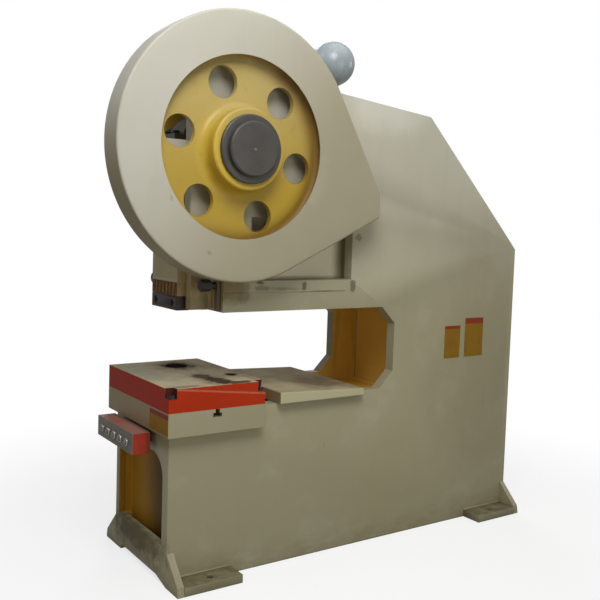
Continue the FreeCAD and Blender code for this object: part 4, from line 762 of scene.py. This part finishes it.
def guardMesh(shape):
    # a section carried round the outline; its points are (share of the way from the window to the rim,
    # inset from the outline, depth below the face), with a quarter circle at the rolled corner
    corner, sheet = shape["corner"], shape["sheet"]
    depth = abs(shape["face"] - shape["back"])
    turn = np.linspace(0, np.pi / 2, 7)
    lipShare, lipDepth = shape["lip"]  # the broken edge of the window
    outer = [(0, corner, lipDepth), (lipShare, corner, 0)] + [(s, corner, 0) for s in np.linspace(0.2, 1, 5)]
    outer += [(1, corner * (1 - math.sin(a)), corner * (1 - math.cos(a))) for a in turn[1:]]
    outer += [(1, 0, d) for d in np.linspace(corner, depth, 5)[1:]]
    small = corner - sheet
    inner = [(1, sheet, d) for d in np.linspace(depth, corner, 5)]
    inner += [(1, corner - small * math.sin(a), corner - small * math.cos(a)) for a in turn[::-1][1:]]
    inner += [(s, corner, sheet) for s in np.linspace(0.8, 0.2, 4)] + [(0, corner, sheet)]
    section = np.array(outer + inner)
    point, normal = hullOutline(shape["discs"])
    centre = np.array(shape["centre"])
    inset = point[:, None] - section[None, :, 1, None] * normal[:, None]
    direction = point - centre
    windowEdge = centre + shape["window"] * direction / np.linalg.norm(direction, axis=1, keepdims=True)
    share = section[None, :, 0, None]
    flat = windowEdge[:, None] * (1 - share) + inset * share
    sign = 1 if shape["face"] > 0 else -1
    x = np.broadcast_to(shape["face"] - sign * section[None, :, 2], flat.shape[:2])
    return tidyMesh(gridMesh(shape["node"] + "_sheet", np.concatenate([x[..., None], flat], -1) * mm))


for shape in (gearGuardShape, beltGuardShape):
    guard = addPiece(shape["node"] + "_sheet", guardMesh(shape), shape["node"])
    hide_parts(shape["node"])
print("guards made")


# air receiver: rolled shell, dished ends and two weld seams
receiverShape = {"centre": (0, -189, 2501), "ends": (-185, 185), "radius": 111.2, "dish": 110,
                 "seam": 0.8, "seamWidths": (5, 3)}


def receiverMesh(shape):
    # quarter ellipses for the dished ends, a straight shell between them, a low step at each seam
    low, high = shape["ends"]
    radius, dish = shape["radius"], shape["dish"]
    quarter = np.linspace(0, np.pi / 2, 15)
    left = [(low - dish * math.cos(a), radius * math.sin(a), 0) for a in quarter[:-1]]
    right = [(high + dish * math.cos(a), radius * math.sin(a), 0) for a in quarter[::-1][1:]]
    middle = []
    foot, crown = shape["seamWidths"]
    for x in (low, high):
        middle += [(x - foot, radius, 0), (x - crown, radius + shape["seam"], 0),
                   (x + crown, radius + shape["seam"], 0), (x + foot, radius, 0)]
    return turnedMesh("air_receiver_shell", left + middle + right, shape["centre"], "X", closed=False)


receiver = addPiece("air_receiver_shell", receiverMesh(receiverShape), "air_receiver")
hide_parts("air_receiver")


# crankshaft end: threaded collar and cap, turned, their edges broken; (x, radius, rounding) in mm
collarShape = [(474, 60, 0), (474, 149, 0), (477, 153, 2), (488, 153, 3), (492, 147, 2), (492, 60, 0)]
capShape = [(492, 0, 0), (492, 122, 0), (514, 122, 5), (520, 115, 3), (520, 9, 2), (514.5, 0, 0)]
for node, corners in (("locking_collar", collarShape), ("end_cap", capShape)):
    mesh = turnedMesh(node, corners, (0, *gearAxis), "X", steps=128, closed=node == "locking_collar")
    piece = addPiece(node + "_turned", mesh, node)
    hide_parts(node)


# push buttons: domed caps with their stems in satin collars; profiles are (y, radius, rounding) in mm
buttonShape = {
    "count": 5, "first": -190, "pitch": 75, "height": 650,
    "cap": [(-1211, 0, 0), (-1211, 6, 0), (-1243, 6, 0), (-1243, 14, 0.6), (-1250.5, 14, 2), (-1252.6, 9, 3),
            (-1253, 0, 0)],
    "collar": [(-1238, 14.4, 0), (-1238, 18.5, 0), (-1243, 18.5, 1.6), (-1246, 17, 1.2), (-1246, 14.4, 0.8)],
}
collars = []
for index in range(buttonShape["count"]):
    middle = (buttonShape["first"] + index * buttonShape["pitch"], 0, buttonShape["height"])
    node = f"push_button_{index + 1}"
    mesh = turnedMesh(node, buttonShape["cap"], middle, "Y", steps=48, closed=False)
    piece = addPiece(node + "_cap", mesh, node)
    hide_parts(node)
    collars.append(turnedMesh("collar", buttonShape["collar"], middle, "Y", steps=48))
piece = addPiece("button_collars", joinMeshes("button_collars", collars), "button_bezels")
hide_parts("button_bezels")
print("turned pieces made")


# a head's top: how wide its chamfer starts and its washer face is, in shares of the width over the flats,
# how steep the chamfer is, and the depths in mm at which its curve is drawn
boltLook = {"sides": 72, "start": 0.97, "face": 0.9, "slope": 1.73, "depths": (4, 3, 2, 1, 0), "tip": 0.5}


def hexBoltMesh(base, direction, corner, high, shank, tail):
    # the head's radius is a hexagon's, held in by a 30 degree chamfer near the top; the shank runs from
    # the tail behind the head's base to the one above its top
    angle = np.linspace(0, 2 * np.pi, boltLook["sides"], endpoint=False)[:, None]
    flat = corner * math.cos(math.pi / 6)
    hexagon = flat / np.cos((angle + np.pi / 6) % (np.pi / 3) - np.pi / 6)
    levels = [(-tail[0], 0.001), (-tail[0], shank), (0, shank), (0, corner)]
    levels += [(high - depth, flat * boltLook["start"] + depth * boltLook["slope"])
               for depth in boltLook["depths"]]
    levels += [(high, flat * boltLook["face"]), (high, shank if tail[1] else 0.001)]
    if tail[1]:
        levels += [(high + tail[1], shank - 1), (high + tail[1] + boltLook["tip"], 0.001)]
    along, limit = np.array(levels, float).T
    radius = np.minimum(hexagon, limit)
    first, second = radius * np.cos(angle), radius * np.sin(angle)
    along = np.broadcast_to(along, first.shape)
    order = {"Z": (first, second, along), "-Y": (first, -along, second)}[direction]
    points = (np.stack(order, -1) + np.array(base)) * mm
    return tidyMesh(gridMesh("bolt", points, closeV=False), smoothAngle=25)


# bolts: where the heads stand, then radius over the corners, head height, shank radius and tails in mm
boltShapes = {
    "bolster": {"at": [(335, y, 885) for y in (-1126, -664)], "direction": "Z",
                "size": (20, 15, 12, (125, 0))},
    "gibs": {"at": [(x, -880, z) for x in (218, -218) for z in (1520, 1660)], "direction": "-Y",
             "size": (22, 18, 12, (80, 0))},
    "ears": {"at": [(x, -908, 1382) for x in (262, -262)], "direction": "-Y",
             "size": (28, 50, 12, (105, 0)),
             "neck": [(-908, 0, 0), (-908, 17, 0), (-880, 17, 0), (-880, 0, 0)]},
}
bolts = []
for shape in boltShapes.values():
    for base in shape["at"]:
        bolts.append(hexBoltMesh(base, shape["direction"], *shape["size"]))
        if "neck" in shape:
            middle = (base[0], 0, base[2])
            bolts.append(turnedMesh("neck", shape["neck"], middle, "Y", steps=48, closed=False))
piece = addPiece("hexagon_bolts", joinMeshes("hexagon_bolts", bolts), "frame_bolts")
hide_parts("frame_bolts")
print("bolts made:", len(bolts))


# weld beads: low and half-round, with the ripples of a hand-held torch
weldLook = {"width": 7, "height": 4, "ripple": 6, "rippleDepth": 0.1, "uneven": 0.14, "wanders": 14,
            "step": 2.2, "sides": 8, "endSize": 0.05}
weldRuns = {
    "feet": [[(sx * 305, y0, 40), (sx * 305, y0 + 300, 40)] for sx in (1, -1) for y0 in (-1083, 784)],
    "ledge": [[(306, -855, 1351), (306, -150, 1351)]],
    "throat": [[(sx * 245, 368, 768), (sx * 245, 368, 1258)] for sx in (1, -1)],
    "saddles": [[(x, -262, 2340), (x, -116, 2326.5)] for x in (-134, -120, 120, 134)],
    "roof": [[(sx * 245, -1030, 2409.5), (sx * 245, 390, 2280.5)] for sx in (1, -1)],
}


def beadMesh(run, seed):
    # a ring of eight points carried along the run; its size is 1, plus the ripples' sine without its sign,
    # plus a slow random wander
    start, end = np.array(run[0], float), np.array(run[1], float)
    length = np.linalg.norm(end - start)
    share = np.linspace(0, 1, int(length / weldLook["step"]))
    random = np.random.default_rng(seed)
    wanders = weldLook["wanders"]
    wander = np.interp(share, np.linspace(0, 1, wanders), random.normal(0, weldLook["uneven"], wanders))
    ripple = np.abs(np.sin(np.pi * share * length / weldLook["ripple"]))
    size = 1 + weldLook["rippleDepth"] * ripple + wander
    size[0] = size[-1] = weldLook["endSize"]
    forward = (end - start) / length
    side = np.cross(forward, (0, 0, 1)) if abs(forward[2]) < 0.9 else np.array((0, 1.0, 0))
    side = side / np.linalg.norm(side)
    up = np.cross(side, forward)
    angle = np.linspace(0, 2 * np.pi, weldLook["sides"], endpoint=False)
    across, over = side * weldLook["width"] / 2, up * weldLook["height"]
    ring = np.cos(angle)[:, None] * across + np.sin(angle)[:, None] * over
    points = (start + share[:, None] * (end - start))[:, None] + size[:, None, None] * ring[None]
    return tidyMesh(gridMesh("bead", points * mm, closeU=False), smoothAngle=60)


for index, (place, runs) in enumerate(weldRuns.items()):
    beads = [beadMesh(run, index * 10 + number) for number, run in enumerate(runs)]
    addPiece(f"weld_{place}", joinMeshes(f"weld_{place}", beads), "side_plate_right")
print("welds made")


# a pale floor that fades to white, under a dim room; sizes in m
stageLook = {"colour": "#9B9892", "share": 0.74, "fade": (1.3, 3.2), "size": 60.0, "height": -0.001,
             "inGloss": 0.35, "room": "#E8E6DE", "roomLight": 0.09}


def seenBackground(tree):
    # 1 for rays from the camera or through glass, less in a gloss, so that satin paint keeps its own colour
    rays = addNode(tree, "LightPath", {}).outputs
    mirrored = addNode(tree, "Math", {"operation": "MULTIPLY", 0: rays["Is Glossy Ray"],
                                      1: stageLook["inGloss"]})
    clear = addNode(tree, "Math", {"operation": "MAXIMUM", 0: rays["Is Camera Ray"],
                                   1: rays["Is Transmission Ray"]})
    seen = addNode(tree, "Math", {"operation": "MAXIMUM", 0: clear.outputs[0], 1: mirrored.outputs[0]})
    return seen.outputs[0]


def stageMaterial(name, look):
    # camera and mirror rays see nearly white with the shadow still in it, pure white further out;
    # the light that bounces is plain
    material = bpy.data.materials.new(name)
    material.use_nodes = True
    tree = material.node_tree
    tree.nodes.clear()
    place = addNode(tree, "TexCoord", {}).outputs["Object"]
    reach = addNode(tree, "VectorMath", {"operation": "LENGTH", 0: place}).outputs["Value"]
    near, white = look["fade"]
    far = addNode(tree, "MapRange", {"interpolation_type": "SMOOTHSTEP", "Value": reach, "From Min": near,
                                     "From Max": white, "To Min": look["share"], "To Max": 1.0}).outputs[0]
    seen = seenBackground(tree)
    plain = addNode(tree, "Math", {"operation": "MULTIPLY", 0: seen, 1: far})
    tone = addNode(tree, "Mix", {"data_type": "RGBA", 0: seen, 6: hexColour(look["colour"]),
                                 7: (1, 1, 1, 1)})
    matt = addNode(tree, "BsdfDiffuse", {"Color": tone.outputs[2]})
    white = addNode(tree, "Emission", {"Color": (1, 1, 1, 1), "Strength": 1.0})
    mixed = addNode(tree, "MixShader", {0: plain.outputs[0], 1: matt.outputs[0], 2: white.outputs[0]})
    addNode(tree, "OutputMaterial", {"Surface": mixed.outputs[0]})
    return material


floorMesh = bpy.data.meshes.new("floor")
floorMesh.from_pydata([(x * stageLook["size"], y * stageLook["size"], stageLook["height"])
                       for x, y in ((-1, -1), (1, -1), (1, 1), (-1, 1))], [], [(0, 1, 2, 3)])
floor = bpy.data.objects.new("floor", floorMesh)
scene.collection.objects.link(floor)
floorMesh.materials.append(stageMaterial("paleFloor", stageLook))

world = bpy.data.worlds.new("softRoom")
scene.world = world
world.use_nodes = True
tree = world.node_tree
tree.nodes.clear()
room = addNode(tree, "Background", {"Color": hexColour(stageLook["room"]),
                                    "Strength": stageLook["roomLight"]})
white = addNode(tree, "Background", {"Color": (1, 1, 1, 1), "Strength": 1.0})
mixed = addNode(tree, "MixShader", {0: seenBackground(tree), 1: room.outputs[0], 2: white.outputs[0]})
addNode(tree, "OutputWorld", {"Surface": mixed.outputs[0]})

# soft discs; places and sizes in m, power in W
lamps = {
    "ceilingFront": {"at": (2.6, -1.8, 4.2), "aim": (0.3, -0.9, 2.0), "size": 2.0, "power": 96,
                     "colour": "#FBFCFF"},
    "ceiling": {"at": (0.9, 0.4, 4.8), "aim": (0.3, 0.0, 1.6), "size": 3.2, "power": 34,
                "colour": "#FFFEFA"},
    "rearStrip": {"at": (1.8, 5.0, 2.9), "aim": (0.3, -0.4, 1.9), "size": 1.6, "power": 30,
                  "colour": "#FFFDF6"},
    "sideFill": {"at": (4.3, 0.7, 1.2), "aim": (0.3, -0.4, 1.4), "size": 1.8, "power": 20,
                 "colour": "#FFFAEC"},
    "glossPanel": {"at": (3.9, 0.0, 2.4), "aim": (0.4, -1.2, 2.0), "size": 1.2, "power": 8,
                   "colour": "#FBFCFF"},
    "frontFill": {"at": (1.4, -4.3, 1.25), "aim": (0.0, -0.4, 1.1), "size": 1.8, "power": 7,
                  "colour": "#FFF6E4"},
    "throatFill": {"at": (3.0, -2.3, 1.15), "aim": (-0.2, 0.25, 1.0), "size": 1.2, "power": 6,
                   "colour": "#FFFAEC"},
    "upperLeft": {"at": (-0.6, -3.3, 4.2), "aim": (0.2, -1.2, 2.0), "size": 1.4, "power": 17,
                  "colour": "#FBFCFF"},
    "farFill": {"at": (-5.0, 2.5, 4.5), "aim": (0.0, 0.2, 1.2), "size": 4.0, "power": 150,
                "colour": "#F4F8FF"},
}
for name, lamp in lamps.items():
    data = bpy.data.lights.new(name, "AREA")
    data.shape = "DISK"
    data.size = lamp["size"]
    data.energy = lamp["power"]
    data.color = hexColour(lamp["colour"])[:3]
    light = bpy.data.objects.new(name, data)
    light.location = lamp["at"]
    light.rotation_euler = (Vector(lamp["aim"]) - Vector(lamp["at"])).to_track_quat("-Z", "Y").to_euler()
    scene.collection.objects.link(light)

# the camera, solved from the photo's straight edges; angles in degrees, place in m, lens in mm
view = {"azimuth": 55.3, "pitch": -4.1, "roll": 1.9, "at": (3.6209, -2.6975, 1.6725),
        "lens": 49.13, "sensor": 36, "shift": (-0.0082, -0.026)}
azimuth, pitch, roll = (math.radians(view[key]) for key in ("azimuth", "pitch", "roll"))
forward = Vector((-math.sin(azimuth) * math.cos(pitch), math.cos(azimuth) * math.cos(pitch),
                  math.sin(pitch)))
right = Vector((math.cos(azimuth), math.sin(azimuth), 0))
up = right.cross(forward)
right, up = math.cos(roll) * right + math.sin(roll) * up, -math.sin(roll) * right + math.cos(roll) * up
lens = bpy.data.cameras.new("camera")
lens.lens = view["lens"]
lens.sensor_width = view["sensor"]
lens.shift_x, lens.shift_y = view["shift"]
camera = bpy.data.objects.new("camera", lens)
camera.matrix_world = Matrix.Translation(view["at"]) @ Matrix((right, up, -forward)).transposed().to_4x4()
scene.collection.objects.link(camera)
scene.camera = camera
scene.view_settings.view_transform = "Standard"
print("stage set")
